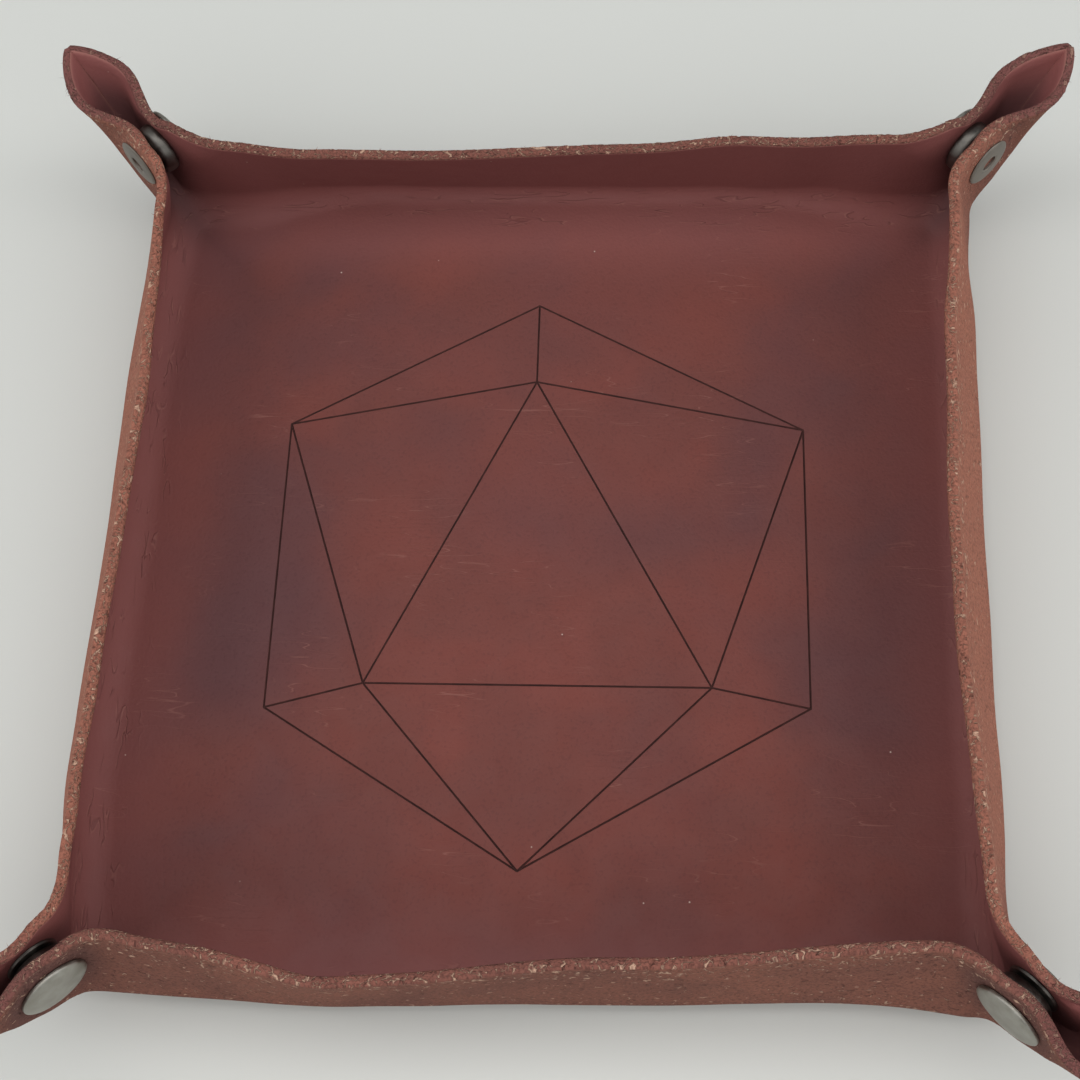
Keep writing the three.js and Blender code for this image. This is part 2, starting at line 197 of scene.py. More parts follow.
def grid_quads(rows: int, columns: int, wrap: bool = False) -> np.ndarray:
    """Faces of a grid of points, row by row.

    Args:
        rows: Number of rows of points.
        columns: Number of points in a row.
        wrap: Whether the last column joins the first.

    Returns:
        Array of four indices for each face.
    """
    index = np.arange(rows * columns).reshape(rows, columns)
    after = np.roll(index, -1, axis=1)
    keep = columns if wrap else columns - 1
    quads = np.stack([index[:-1], after[:-1], after[1:], index[1:]], axis=-1)[:, :keep]
    return quads.reshape(-1, 4)


@dataclass
class Board:
    """A node tree with short ways to place and join nodes."""

    tree: bpy.types.NodeTree

    def put(self, kind: str, values: dict, **settings: object) -> bpy.types.Node:
        """Place a node.

        Args:
            kind: The node's type.
            values: A socket or a plain value for each input, by name or number.
            settings: The node's own options.

        Returns:
            The node.
        """
        node = self.tree.nodes.new(kind)
        for name, value in settings.items():
            setattr(node, name, value)
        for name, value in values.items():
            if isinstance(value, bpy.types.NodeSocket):
                self.tree.links.new(value, node.inputs[name])
            else:
                node.inputs[name].default_value = value
        return node

    def noise(self, vector: bpy.types.NodeSocket, scale: Feed, detail: float = 2.0,
              distortion: float = 0.0) -> bpy.types.NodeSocket:
        """Cloudy noise from 0 to 1."""
        values = {"Vector": vector, "Scale": scale, "Detail": detail, "Distortion": distortion}
        return self.put("ShaderNodeTexNoise", values).outputs["Fac"]

    def math(self, operation: str, *values: Feed) -> bpy.types.NodeSocket:
        """A sum, product or other operation on one or more values."""
        return self.put("ShaderNodeMath", dict(enumerate(values)), operation=operation).outputs[0]

    def ramp(self, value: Feed, low: Feed, high: Feed) -> bpy.types.NodeSocket:
        """A smooth step from 0 at low to 1 at high, or from 1 to 0 where low is the larger."""
        values = {"Value": value, "From Min": low, "From Max": high}
        return self.put("ShaderNodeMapRange", values, interpolation_type="SMOOTHSTEP").outputs["Result"]

    def times(self, first: Feed, second: Feed) -> bpy.types.NodeSocket:
        """The product of two values."""
        return self.math("MULTIPLY", first, second)

    def plus(self, first: Feed, second: Feed) -> bpy.types.NodeSocket:
        """The sum of two values."""
        return self.math("ADD", first, second)

    def minus(self, first: Feed, second: Feed) -> bpy.types.NodeSocket:
        """The first value less the second."""
        return self.math("SUBTRACT", first, second)

    def ridge(self, value: bpy.types.NodeSocket, width: float) -> bpy.types.NodeSocket:
        """Thin lines where a noise passes through its middle."""
        return self.ramp(self.math("ABSOLUTE", self.minus(value, 0.5)), width, 0.0)

    def mix(self, share: Feed, first: Feed, second: Feed) -> bpy.types.NodeSocket:
        """A colour between two colours."""
        values = {0: share, 6: first, 7: second}
        return self.put("ShaderNodeMix", values, data_type="RGBA").outputs[2]

    def tint(self, colour: Feed, other: Feed, where: Feed, share: float) -> bpy.types.NodeSocket:
        """A colour taken towards another by a share of a mask."""
        return self.mix(self.times(where, share), colour, other)

    def group(self, tree: bpy.types.NodeTree, **values: Feed) -> bpy.types.Node:
        """Place a node group with its own values, by its inputs' names in small letters."""
        fed = {name.capitalize(): value for name, value in values.items()}
        return self.put("ShaderNodeGroup", fed, node_tree=tree)

    def bump(self, height: bpy.types.NodeSocket, distance: float,
             strength: float = 1.0) -> bpy.types.NodeSocket:
        """A normal from a height of 0 to 1 that stands for a distance in millimetres."""
        values = {"Height": height, "Distance": distance * MM, "Strength": strength}
        return self.put("ShaderNodeBump", values).outputs["Normal"]


@dataclass
class Effects:
    """Node groups that several finishes share.

    A zone is the value at which a mask starts to show and the value at which it shows in full. Finer is how
    many times finer a noise is than the group's scale.
    """

    cloud_zone: tuple = (0.26, 0.74)
    blotch_finer: float = 3.7
    blotch_zone: tuple = (0.32, 0.7)
    pore_finer: float = 110.0
    fleck_width: float = 0.06
    patch_finer: float = 1.6
    patch_start: float = 0.78
    patch_edge: float = 0.05
    pit_finer: float = 1.9
    pit_zone: tuple = (0.37, 0.28)
    nap_finer: float = 4.5
    scratch_turns: tuple = (0.35, 1.9)
    scratch_stretch: tuple = (0.25, 3.0, 1.0)
    scratch_width: float = 0.008
    scratch_finer: float = 0.23
    scratch_finer_by_turn: float = 0.05
    scratch_zone: tuple = (0.56, 0.7)
    speck_finer: float = 1.6
    speck_zone: tuple = (0.055, 0.02)
    speck_rarity: tuple = (0.935, 0.96)

    def __post_init__(self) -> None:
        """Build each group once."""
        self.mottle = self.build_mottle()
        self.fibres = self.build_fibres()
        self.scuffs = self.build_scuffs()

    @staticmethod
    def begin(name: str, *values: str) -> tuple[Board, list[bpy.types.NodeSocket]]:
        """Start a group whose inputs are a vector and some plain values.

        Args:
            name: The group's name.
            values: Names of the plain values.

        Returns:
            Its board, and the sockets that its inputs come in by, in order.
        """
        tree = bpy.data.node_groups.new(name, "ShaderNodeTree")
        tree.interface.new_socket(name="Vector", in_out="INPUT", socket_type="NodeSocketVector")
        for label in values:
            tree.interface.new_socket(name=label, in_out="INPUT", socket_type="NodeSocketFloat")
        board = Board(tree)
        given = board.put("NodeGroupInput", {}).outputs
        return board, [given[label] for label in ("Vector", *values)]

    @staticmethod
    def end(board: Board, masks: dict) -> bpy.types.NodeTree:
        """Put out a group's masks.

        Args:
            board: The group's board.
            masks: A socket for each output, by the output's name.

        Returns:
            The group.
        """
        for label in masks:
            board.tree.interface.new_socket(name=label, in_out="OUTPUT", socket_type="NodeSocketFloat")
        board.put("NodeGroupOutput", masks)
        return board.tree

    def build_mottle(self) -> bpy.types.NodeTree:
        """Uneven dye: broad clouds, smaller blotches and fine pores.

        Returns:
            The group, which puts out Cloud, Blotch and Pore.
        """
        board, (vector, scale) = self.begin("uneven_dye", "Scale")
        cloud = board.ramp(board.noise(vector, scale, detail=1.5, distortion=0.7), *self.cloud_zone)
        finer = board.times(scale, self.blotch_finer)
        blotch = board.ramp(board.noise(vector, finer, detail=3.0, distortion=0.4), *self.blotch_zone)
        pore = board.noise(vector, board.times(scale, self.pore_finer), detail=3.0)
        return self.end(board, {"Cloud": cloud, "Blotch": blotch, "Pore": pore})

    def build_fibres(self) -> bpy.types.NodeTree:
        """Loose fibres of raw leather: pale curling flecks, dark pits and a fine nap.

        Returns:
            The group, which puts out Fleck, Pit and Nap.
        """
        board, (vector, scale, amount) = self.begin("loose_fibres", "Scale", "Amount")
        lines = board.ridge(board.noise(vector, scale, detail=1.0, distortion=1.3), self.fleck_width)
        places = board.noise(vector, board.times(scale, self.patch_finer), detail=1.0)
        least = board.minus(self.patch_start, amount)
        patches = board.ramp(places, least, board.plus(least, self.patch_edge))
        hollows = board.noise(vector, board.times(scale, self.pit_finer), detail=2.0, distortion=0.8)
        pits = board.ramp(hollows, *self.pit_zone)
        nap = board.noise(vector, board.times(scale, self.nap_finer), detail=4.0, distortion=0.6)
        return self.end(board, {"Fleck": board.times(lines, patches), "Pit": pits, "Nap": nap})

    def build_scuffs(self) -> bpy.types.NodeTree:
        """Wear of use: fine scratches in two directions and tiny pale specks.

        Returns:
            The group, which puts out Scratch and Speck.
        """
        board, (vector, scale) = self.begin("light_wear", "Scale")
        lines = []
        for turn in self.scratch_turns:
            values = {"Vector": vector, "Rotation": (0.0, 0.0, turn), "Scale": self.scratch_stretch}
            stretched = board.put("ShaderNodeMapping", values).outputs["Vector"]
            noise = board.noise(stretched, scale, detail=1.0, distortion=0.2)
            line = board.ridge(noise, self.scratch_width)
            finer = self.scratch_finer + self.scratch_finer_by_turn * turn
            where = board.noise(vector, board.times(scale, finer), detail=1.0)
            lines.append(board.times(line, board.ramp(where, *self.scratch_zone)))
        values = {"Vector": vector, "Scale": board.times(scale, self.speck_finer)}
        cells = board.put("ShaderNodeTexVoronoi", values).outputs
        rare = board.put("ShaderNodeSeparateColor", {"Color": cells["Color"]}).outputs["Red"]
        dots = board.ramp(cells["Distance"], *self.speck_zone)
        speck = board.times(dots, board.ramp(rare, *self.speck_rarity))
        return self.end(board, {"Scratch": board.math("MAXIMUM", *lines), "Speck": speck})


@dataclass(frozen=True)
class Finish:
    """What every finish has: a name, the shader's plain values and layers of colour, roughness and normal."""

    name: str
    specular: float = 0.5
    metallic: float = 0.0

    def layers(self, board: Board, effects: Effects) -> Layers:
        """Work out this finish's colour, roughness and normal."""
        raise NotImplementedError

    def material(self, effects: Effects) -> bpy.types.Material:
        """Make the material, with the plain values on the shader's own sockets.

        Args:
            effects: The shared node groups.

        Returns:
            The material.
        """
        material = bpy.data.materials.new(self.name)
        material.use_nodes = True
        tree = material.node_tree
        sockets = tree.nodes["Principled BSDF"].inputs
        sockets["Specular IOR Level"].default_value = self.specular
        sockets["Metallic"].default_value = self.metallic
        made = self.layers(Board(tree), effects)
        for label, socket in zip(("Base Color", "Roughness", "Normal"), made):
            tree.links.new(socket, sockets[label])
        return material


@dataclass(frozen=True)
class LeatherFinish(Finish):
    """A finish on the flat sheet's map, with its places in millimetres from the sheet's centre."""

    sheet_size: float = SHEET_SIZE
    fold_place: float = 84.5

    @staticmethod
    def sheet_map(board: Board) -> bpy.types.NodeSocket:
        """The flat sheet's map, the whole sheet filling 0 to 1."""
        return board.put("ShaderNodeUVMap", {}, uv_map="flat_sheet").outputs["UV"]

    def sheet_place(self, board: Board, vector: bpy.types.NodeSocket) -> dict:
        """Where a point lies on the flat sheet.

        Args:
            board: The material's board.
            vector: The flat sheet's map.

        Returns:
            x and y in millimetres, the larger of their sizes (distance out), the smaller (distance along the
            side), their difference (distance from a diagonal) and whether y is the larger (across).
        """
        parts = board.put("ShaderNodeSeparateXYZ", {0: vector})
        x, y = (board.times(board.minus(parts.outputs[label], 0.5), self.sheet_size) for label in ("X", "Y"))
        size_x, size_y = board.math("ABSOLUTE", x), board.math("ABSOLUTE", y)
        places = {"x": x, "y": y, "out": board.math("MAXIMUM", size_x, size_y)}
        places["across"] = board.math("GREATER_THAN", size_y, size_x)
        places["diagonal"] = board.math("ABSOLUTE", board.minus(size_x, size_y))
        places["along"] = board.math("MINIMUM", size_x, size_y)
        return places


@dataclass(frozen=True)
class GrainFinish(LeatherFinish):
    """Smooth dyed side: clouds of red and purple brown, pores, wrinkles at the folds, scratches and specks.
    Painted shade lies in the wrinkles and the ear hollows, a painted highlight beside each wrinkle, and
    painted light on the walls.

    A zone is the place where a layer starts to show and the place where it shows in full. A share is how
    much of a layer shows at most.
    """

    red: tuple = (0.145, 0.044, 0.036, 1.0)
    dark: tuple = (0.098, 0.04, 0.042, 1.0)
    bright: tuple = (0.198, 0.05, 0.038, 1.0)
    # painted light: walls and the floor beside the fold made lighter, as if more light and sheen reached them
    painted_wall_light: tuple = (0.25, 0.087, 0.08, 1.0)
    # pale wear colour for the crease, the rim and the scratches, also used for the painted highlight beside
    # each wrinkle
    worn: tuple = (0.33, 0.15, 0.12, 1.0)
    # dark tone of the pores, also the painted shade in the wrinkles
    deep_tone_and_crease_shade: tuple = (0.045, 0.015, 0.015, 1.0)
    # painted shade for the hollow of each ear
    pocket_shade: tuple = (0.05, 0.028, 0.03, 1.0)
    speck: tuple = (0.62, 0.52, 0.45, 1.0)
    dye_place: tuple = (5.6, -15.7, 7.7)
    dye_scale: float = 3.1
    streak_scale: float = 9.0
    wear_scale: float = 34.0
    streak_share: float = 0.3
    red_zone: tuple = (-0.25, 0.95)
    bright_share: float = 0.55
    pore_zone: tuple = (0.46, 0.33)
    pore_share: float = 0.16
    painted_wall_light_zone: tuple = (62.0, 93.0)
    painted_wall_light_share: float = 0.9
    pocket_shade_along: tuple = (69.0, 89.0)
    pocket_shade_out: tuple = (112.0, 104.0)
    pocket_shade_share: float = 0.6
    wrinkle_stretch: float = 0.24
    wrinkle_scale: float = 0.55
    wrinkle_gap_scale: float = 0.42
    wrinkle_gap_zone: tuple = (0.5, 0.62)
    wrinkle_zone: tuple = (8.0, 3.0)
    wrinkle_width: float = 0.03
    wrinkle_shade_share: float = 0.2
    wrinkle_depth: float = 1.2
    highlight_step: float = 0.04
    highlight_share: float = 0.36
    side_step: float = 40.0
    crease_zone: tuple = (0.9, 0.1)
    crease_out: tuple = (94.0, 106.0)
    crease_share: float = 0.32
    rim_zone: tuple = (113.2, 114.1)
    rim_share: float = 0.7
    scratch_share: float = 0.3
    scratch_depth: float = 0.4
    speck_share: float = 0.75
    smoothest: float = 0.58
    rougher: float = 0.14
    relief: tuple = (0.12, 0.8)

    def wrinkles(self, board: Board, places: dict) -> tuple[bpy.types.NodeSocket, bpy.types.NodeSocket]:
        """Short lines along a fold: a noise drawn out along the side, cut into pieces and kept to the fold.

        Args:
            board: The material's board.
            places: Where a point lies on the flat sheet.

        Returns:
            The wrinkles, whose dark is painted shade in the crease, and the pale ridge beside each, a painted
            highlight.
        """
        across, out = places["across"], places["out"]
        over = board.minus(1.0, across)
        along = board.plus(board.times(across, places["x"]), board.times(over, places["y"]))
        half = board.math("GREATER_THAN", board.plus(places["x"], places["y"]), 0.0)
        side = board.times(board.plus(across, half), self.side_step)
        values = {"X": board.times(along, self.wrinkle_stretch), "Y": out, "Z": side}
        vector = board.put("ShaderNodeCombineXYZ", values).outputs[0]
        drawn = board.noise(vector, self.wrinkle_scale, detail=1.0, distortion=0.5)
        pieces = board.ramp(board.noise(vector, self.wrinkle_gap_scale, detail=1.0), *self.wrinkle_gap_zone)
        away = board.math("ABSOLUTE", board.minus(out, self.fold_place))
        where = board.times(pieces, board.ramp(away, *self.wrinkle_zone))
        # The dark line is painted shade in the crease and the pale line just beside it a painted highlight.
        dark, pale = (board.ridge(board.minus(drawn, step), self.wrinkle_width)
                      for step in (0.0, self.highlight_step))
        return board.times(dark, where), board.times(pale, where)

    def layers(self, board: Board, effects: Effects) -> Layers:
        """Lay the dye, the painted light on the walls, the painted shade in the ear hollows and wrinkles, the
        painted highlights beside them and the wear over one another.

        Args:
            board: The material's board.
            effects: The shared node groups.

        Returns:
            The colour, the roughness and the normal.
        """
        vector = self.sheet_map(board)
        places = self.sheet_place(board, vector)
        out = places["out"]
        values = {"Vector": vector, "Location": self.dye_place}
        moved = board.put("ShaderNodeMapping", values).outputs["Vector"]
        dye = board.group(effects.mottle, vector=moved, scale=self.dye_scale).outputs
        streaks = board.group(effects.mottle, vector=vector, scale=self.streak_scale).outputs
        wear = board.group(effects.scuffs, vector=vector, scale=self.wear_scale).outputs
        streak = board.times(board.minus(streaks["Cloud"], 0.5), self.streak_share)
        colour = board.mix(board.ramp(board.plus(dye["Cloud"], streak), *self.red_zone), self.dark, self.red)
        colour = board.tint(colour, self.bright, board.times(dye["Cloud"], dye["Blotch"]), self.bright_share)
        colour = board.tint(colour, self.deep_tone_and_crease_shade, board.ramp(dye["Pore"], *self.pore_zone), self.pore_share)
        # Painted light: the walls and the floor beside the fold are lightened.
        colour = board.tint(colour, self.painted_wall_light, board.ramp(out, *self.painted_wall_light_zone), self.painted_wall_light_share)
        # Painted shade in the hollow of each ear, between the snap and the tip.
        near_ear = board.ramp(places["along"], *self.pocket_shade_along)
        pocket_shade = board.times(near_ear, board.ramp(out, *self.pocket_shade_out))
        colour = board.tint(colour, self.pocket_shade, pocket_shade, self.pocket_shade_share)
        wrinkle, ridge = self.wrinkles(board, places)
        # Painted shade in each wrinkle, and a painted highlight on the pale ridge beside it.
        colour = board.tint(colour, self.deep_tone_and_crease_shade, wrinkle, self.wrinkle_shade_share)
        colour = board.tint(colour, self.worn, ridge, self.highlight_share)
        crease = board.ramp(places["diagonal"], *self.crease_zone)
        crease = board.times(crease, board.ramp(out, *self.crease_out))
        rim = board.times(board.ramp(out, *self.rim_zone), self.rim_share)
        worn = board.math("MAXIMUM", board.times(crease, self.crease_share), rim)
        worn = board.math("MAXIMUM", worn, board.times(wear["Scratch"], self.scratch_share))
        colour = board.mix(worn, colour, self.worn)
        colour = board.tint(colour, self.speck, wear["Speck"], self.speck_share)
        rough = board.plus(self.smoothest, board.times(streaks["Blotch"], self.rougher))
        height = board.minus(dye["Pore"], board.times(wrinkle, self.wrinkle_depth))
        height = board.minus(height, board.times(wear["Scratch"], self.scratch_depth))
        return colour, rough, board.bump(height, *self.relief)


@dataclass(frozen=True)
class FleshFinish(LeatherFinish):
    """Raw side or cut edge: brown nap with pale loose fibres and dark pits, most of them near the rim.
    The left and right walls are made lighter by painted light.

    A zone is the place where a layer starts to show and the place where it shows in full. A share is how
    much of a layer shows at most.
    """

    brown: tuple = (0.27, 0.108, 0.074, 1.0)
    shade: tuple = (0.18, 0.075, 0.057, 1.0)
    fibre: tuple = (0.60, 0.38, 0.27, 1.0)
    pit: tuple = (0.06, 0.027, 0.023, 1.0)
    mark: tuple = (0.075, 0.046, 0.046, 1.0)
    ear_red: tuple = (0.20, 0.078, 0.072, 1.0)
    # painted light: colour that makes the left and right walls' raw side and cut edge lighter where more
    # light falls
    side_light: tuple = (0.48, 0.185, 0.118, 1.0)
    dye_scale: float = 5.0
    cloud_share: float = 0.55
    blotch_share: float = 0.45
    side_light_zone: tuple = (14.0, 42.0)
    side_light_share: float = 0.5
    ear_zone: tuple = (40.0, 14.0)
    ear_share: float = 0.0
    pressed_zone: tuple = (15.0, 7.0)
    pressed: float = 0.55
    nap_zone: tuple = (0.56, 0.34)
    nap_share: float = 0.52
    pit_share: float = 0.42
    pit_depth: float = 0.8
    fleck_share: float = 0.85
    fleck_less_on_ear: float = 0.7
    snap_along: float = 85.2
    snap_out: float = 104.9
    fibre_scale: float = 85.0
    amount: float = 0.15
    rim_zone: tuple = (104.0, 112.0)
    rim_amount: float = 0.13
    foot_zone: tuple = (95.0, 87.0)
    foot_part: float = 0.7
    roughest: float = 0.95
    smoother: float = 0.2
    depth: float = 0.3

    def layers(self, board: Board, effects: Effects) -> Layers:
        """Lay the painted light on the left and right walls, a darker ring round the snap, the nap, the pits
        and the loose fibres over the raw brown.

        Args:
            board: The material's board.
            effects: The shared node groups.

        Returns:
            The colour, the roughness and the normal.
        """
        vector = self.sheet_map(board)
        places = self.sheet_place(board, vector)
        near_rim = board.times(board.ramp(places["out"], *self.rim_zone), self.rim_amount)
        near_foot = board.times(board.ramp(places["out"], *self.foot_zone), self.foot_part * self.rim_amount)
        amount = board.plus(board.plus(near_rim, near_foot), self.amount)
        loose = board.group(effects.fibres, vector=vector, scale=self.fibre_scale, amount=amount).outputs
        dye = board.group(effects.mottle, vector=vector, scale=self.dye_scale).outputs
        cloud = board.times(dye["Cloud"], self.cloud_share)
        blotch = board.times(dye["Blotch"], self.blotch_share)
        colour = board.mix(board.plus(cloud, blotch), self.shade, self.brown)
        # Painted light: the left and right walls are made lighter away from the corners.
        beside = board.times(board.minus(1.0, places["across"]), self.side_light_share)
        beside = board.times(beside, board.ramp(places["diagonal"], *self.side_light_zone))
        colour = board.mix(beside, colour, self.side_light)
        ear = board.times(board.ramp(places["diagonal"], *self.ear_zone), self.ear_share)
        colour = board.mix(ear, colour, self.ear_red)
        # A darker ring round the snap on the outer face of the leaf.
        away = [board.math("POWER", board.minus(places[label], at), 2.0)
                for label, at in (("along", self.snap_along), ("out", self.snap_out))]
        ring = board.ramp(board.math("SQRT", board.plus(*away)), *self.pressed_zone)
        colour = board.tint(colour, self.mark, board.times(ring, places["across"]), self.pressed)
        colour = board.tint(colour, self.pit, board.ramp(loose["Nap"], *self.nap_zone), self.nap_share)
        colour = board.tint(colour, self.pit, loose["Pit"], self.pit_share)
        shown = board.minus(self.fleck_share, board.times(ear, self.fleck_less_on_ear))
        colour = board.mix(board.times(loose["Fleck"], shown), colour, self.fibre)
        rough = board.minus(self.roughest, board.times(loose["Fleck"], self.smoother))
        height = board.plus(loose["Nap"], loose["Fleck"])
        height = board.minus(height, board.times(loose["Pit"], self.pit_depth))
        return colour, rough, board.bump(height, self.depth)


@dataclass(frozen=True)
class BurntFinish(LeatherFinish):
    """Burnt line: charred brown, paler where the heat took less."""

    char: tuple = (0.046, 0.018, 0.016, 1.0)
    brown: tuple = (0.078, 0.028, 0.024, 1.0)
    heat_scale: float = 16.0
    brown_share: float = 0.8
    smoothest: float = 0.75
    rougher: float = 0.2
    depth: float = 0.1

    def layers(self, board: Board, effects: Effects) -> Layers:
        """Lay brown blotches over the char.

        Args:
            board: The material's board.
            effects: The shared node groups.

        Returns:
            The colour, the roughness and the normal.
        """
        heat = board.group(effects.mottle, vector=self.sheet_map(board), scale=self.heat_scale).outputs
        colour = board.tint(self.char, self.brown, heat["Blotch"], self.brown_share)
        rough = board.plus(self.smoothest, board.times(heat["Pore"], self.rougher))
        return colour, rough, board.bump(heat["Pore"], self.depth)


@dataclass(frozen=True)
class MetalFinish(Finish):
    """Plated metal: a soft sheen that is uneven with handling, fine scratches and a darker tarnish."""

    metallic: float = 1.0
    bright: tuple = (0.42, 0.41, 0.37, 1.0)
    tarnish: tuple = (0.25, 0.235, 0.20, 1.0)
    film_scale: float = 120.0
    wear_scale: float = 420.0
    scratch_share: float = 0.5
    gloss: float = 0.34
    film_rough: float = 0.16
    scratch_rough: float = 0.1
    film_height: float = 0.3
    depth: float = 0.02

    def layers(self, board: Board, effects: Effects) -> Layers:
        """Lay bright patches and scratches over the tarnish.

        Args:
            board: The material's board.
            effects: The shared node groups.

        Returns:
            The colour, the roughness and the normal.
        """
        vector = board.put("ShaderNodeTexCoord", {}).outputs["Object"]
        film = board.group(effects.mottle, vector=vector, scale=self.film_scale).outputs
        wear = board.group(effects.scuffs, vector=vector, scale=self.wear_scale).outputs
        share = board.times(board.plus(film["Cloud"], film["Blotch"]), 0.5)
        colour = board.mix(share, self.tarnish, self.bright)
        colour = board.tint(colour, self.bright, wear["Scratch"], self.scratch_share)
        rough = board.plus(self.gloss, board.times(film["Blotch"], self.film_rough))
        rough = board.plus(rough, board.times(wear["Scratch"], self.scratch_rough))
        height = board.minus(board.times(film["Blotch"], self.film_height), wear["Scratch"])
        return colour, rough, board.bump(height, self.depth)


@dataclass
class SheetForm:
    """The leather's middle surface, in millimetres, as a function of a side and two flat distances.

    u runs along the side from its middle and d away from the sheet's centre, both measured on the flat
    sheet. The floor lies where d is under half its width. The fold is an arc, the wall leans in above it,
    and past the wall's end the surface bends out into half an ear that closes on the diagonal.
    """

    half_side: float = SHEET_SIZE / 2
    thickness: float = 2.0
    floor_half: float = 78.0
    fold_radius: float = FOLD_RADIUS
    wall_lean: float = math.radians(WALL_LEAN)
    ear_offset: float = 3.15
    rim_pinch: float = 0.9
    pinch_start: float = 4.5
    pinch_full: float = 9.5
    pinch_seat: float = 0.9
    pinch_end: float = 0.6
    bend_radius: float = 7.5
    rim_bend_radius: float = 15.0
    rim_height: float = 32.0
    base_corner_radius: float = 8.0
    least_radius: float = 0.05
    corner_room: float = 7.0
    ear_foot: float = 3.5
    ear_height_limit: float = 1.2
    fold_reach_at_floor: float = 117.5
    fold_reach_slope: float = 0.7996
    ear_closing: float = 6.0
    least_seat: float = 0.4
    least_clear_square: float = 0.4
    flare_stretch: float = 1.12
    ear_flares: dict = field(default_factory=lambda: {
        Side.BACK: (7.0, 6.0),
        Side.FRONT: (7.0, 7.0),
        Side.RIGHT: (9.4, 9.0),
        Side.LEFT: (9.8, 9.4),
    })
    ear_turns: dict = field(default_factory=lambda: {
        Side.BACK: (0.0, -1.2),
        Side.FRONT: (0.0, 0.0),
        Side.RIGHT: (0.0, 1.2),
        Side.LEFT: (0.0, 0.0),
    })
    flare_start: float = 0.35
    tip_taper: float = 0.6
    tip_rise: float = 2.8
    tip_round: float = 1.3
    tip_start: float = 0.6
    tip_pull: float = 0.7
    snap_reach: float = SNAP_REACH
    snap_height: float = SNAP_HEIGHT
    snap_clear: float = 7.1
    panel_start: float = 76.0
    sway_end: float = 77.0
    lean_end: float = 84.0
    even_fold_start: float = 40.0
    even_fold_full: float = 69.0
    ripple: float = 0.1
    ripple_turn: float = 0.19
    ripple_phase: float = 3.0
    ripple_fade: tuple = (50.0, 66.0)
    slope_step: float = 0.02
    sways: dict = field(default_factory=lambda: {
        Side.BACK: Sway((-66, -56, -45, -28, -12, 5, 21, 38, 54, 66),
                        (13.4, 18.4, 19.3, 20.2, 18.7, 17.2, 15.5, 12.2, 12.7, 10.4),
                        (0.2, 3.4, 6.4, 6.6, 6.6, 6.6, 6.6, 6.6, 4.2, 0.2), (12.3, 11.5), 4.0),
        Side.FRONT: Sway((-66, -55, -44, -35, -27, -18, -10, -2, 7, 23, 40, 56, 66),
                         (11.0, 8.0, 3.5, -1.0, -1.2, -0.3, 0.8, 2.5, 4.2, 4.8, 5.6, 8.5, 11.5),
                         (0.5, 0.9, 1.4, 1.5, 1.2, 0.9, 0.4, 0.1, 0.0, -0.4, -1.2, -1.7, -1.3)),
        Side.RIGHT: Sway((-66, -54, -43, -32, -13, 6, 29, 41, 53, 66),
                         (14.2, 17.2, 18.9, 19.6, 21.2, 20.5, 19.6, 19.0, 16.6, 13.0),
                         (-1.0, -0.6, -0.6, -0.9, -0.8, -0.9, -0.5, -0.4, -0.2, -0.8)),
        Side.LEFT: Sway((-66, -60, -49, -37, -19, -8, 6, 17, 28, 37, 46, 57, 66),
                        (17.5, 18.7, 20.5, 22.0, 21.5, 22.0, 22.5, 23.7, 24.6, 23.7, 22.3, 19.8, 17.0),
                        (2.1, 2.3, 3.2, 3.0, 2.6, 2.3, 2.0, 2.2, 2.2, 2.2, 2.0, 1.6, 1.0)),
    })

    @property
    def fold_angle(self) -> float:
        """Turn of the fold from the floor to the leaning wall."""
        return math.pi / 2 + self.wall_lean

    @property
    def fold_end(self) -> float:
        """Flat distance at which the fold ends and the wall begins."""
        return self.floor_half + self.fold_radius * self.fold_angle

    @property
    def fold_middle(self) -> float:
        """Flat distance at the middle of the fold."""
        return self.floor_half + self.fold_radius * self.fold_angle / 2

    def profile(self, d: np.ndarray, lean: np.ndarray | None = None, shift: np.ndarray | float = 0.0,
                radius: np.ndarray | None = None) -> tuple[np.ndarray, np.ndarray]:
        """Cross-section of a wall: a straight floor, an arc and a straight lean, as long as the flat sheet.

        Args:
            d: Flat distance from the sheet's centre.
            lean: The wall's lean in radians, the form's own where none is given.
            shift: How much further out the fold begins.
            radius: The fold's radius, the form's own where none is given.

        Returns:
            Distance out from the centre and height of the leather's middle.
        """
        lean = self.wall_lean if lean is None else lean
        radius = self.fold_radius if radius is None else radius
        begin = self.floor_half + shift
        whole = math.pi / 2 + lean
        angle = np.clip((d - begin) / radius, 0.0, whole)
        beyond = np.maximum(d - begin - radius * whole, 0.0)
        out = np.minimum(d, begin) + radius * np.sin(angle) - beyond * np.sin(lean)
        up = self.thickness / 2 + radius * (1 - np.cos(angle)) + beyond * np.cos(lean)
        return out, up

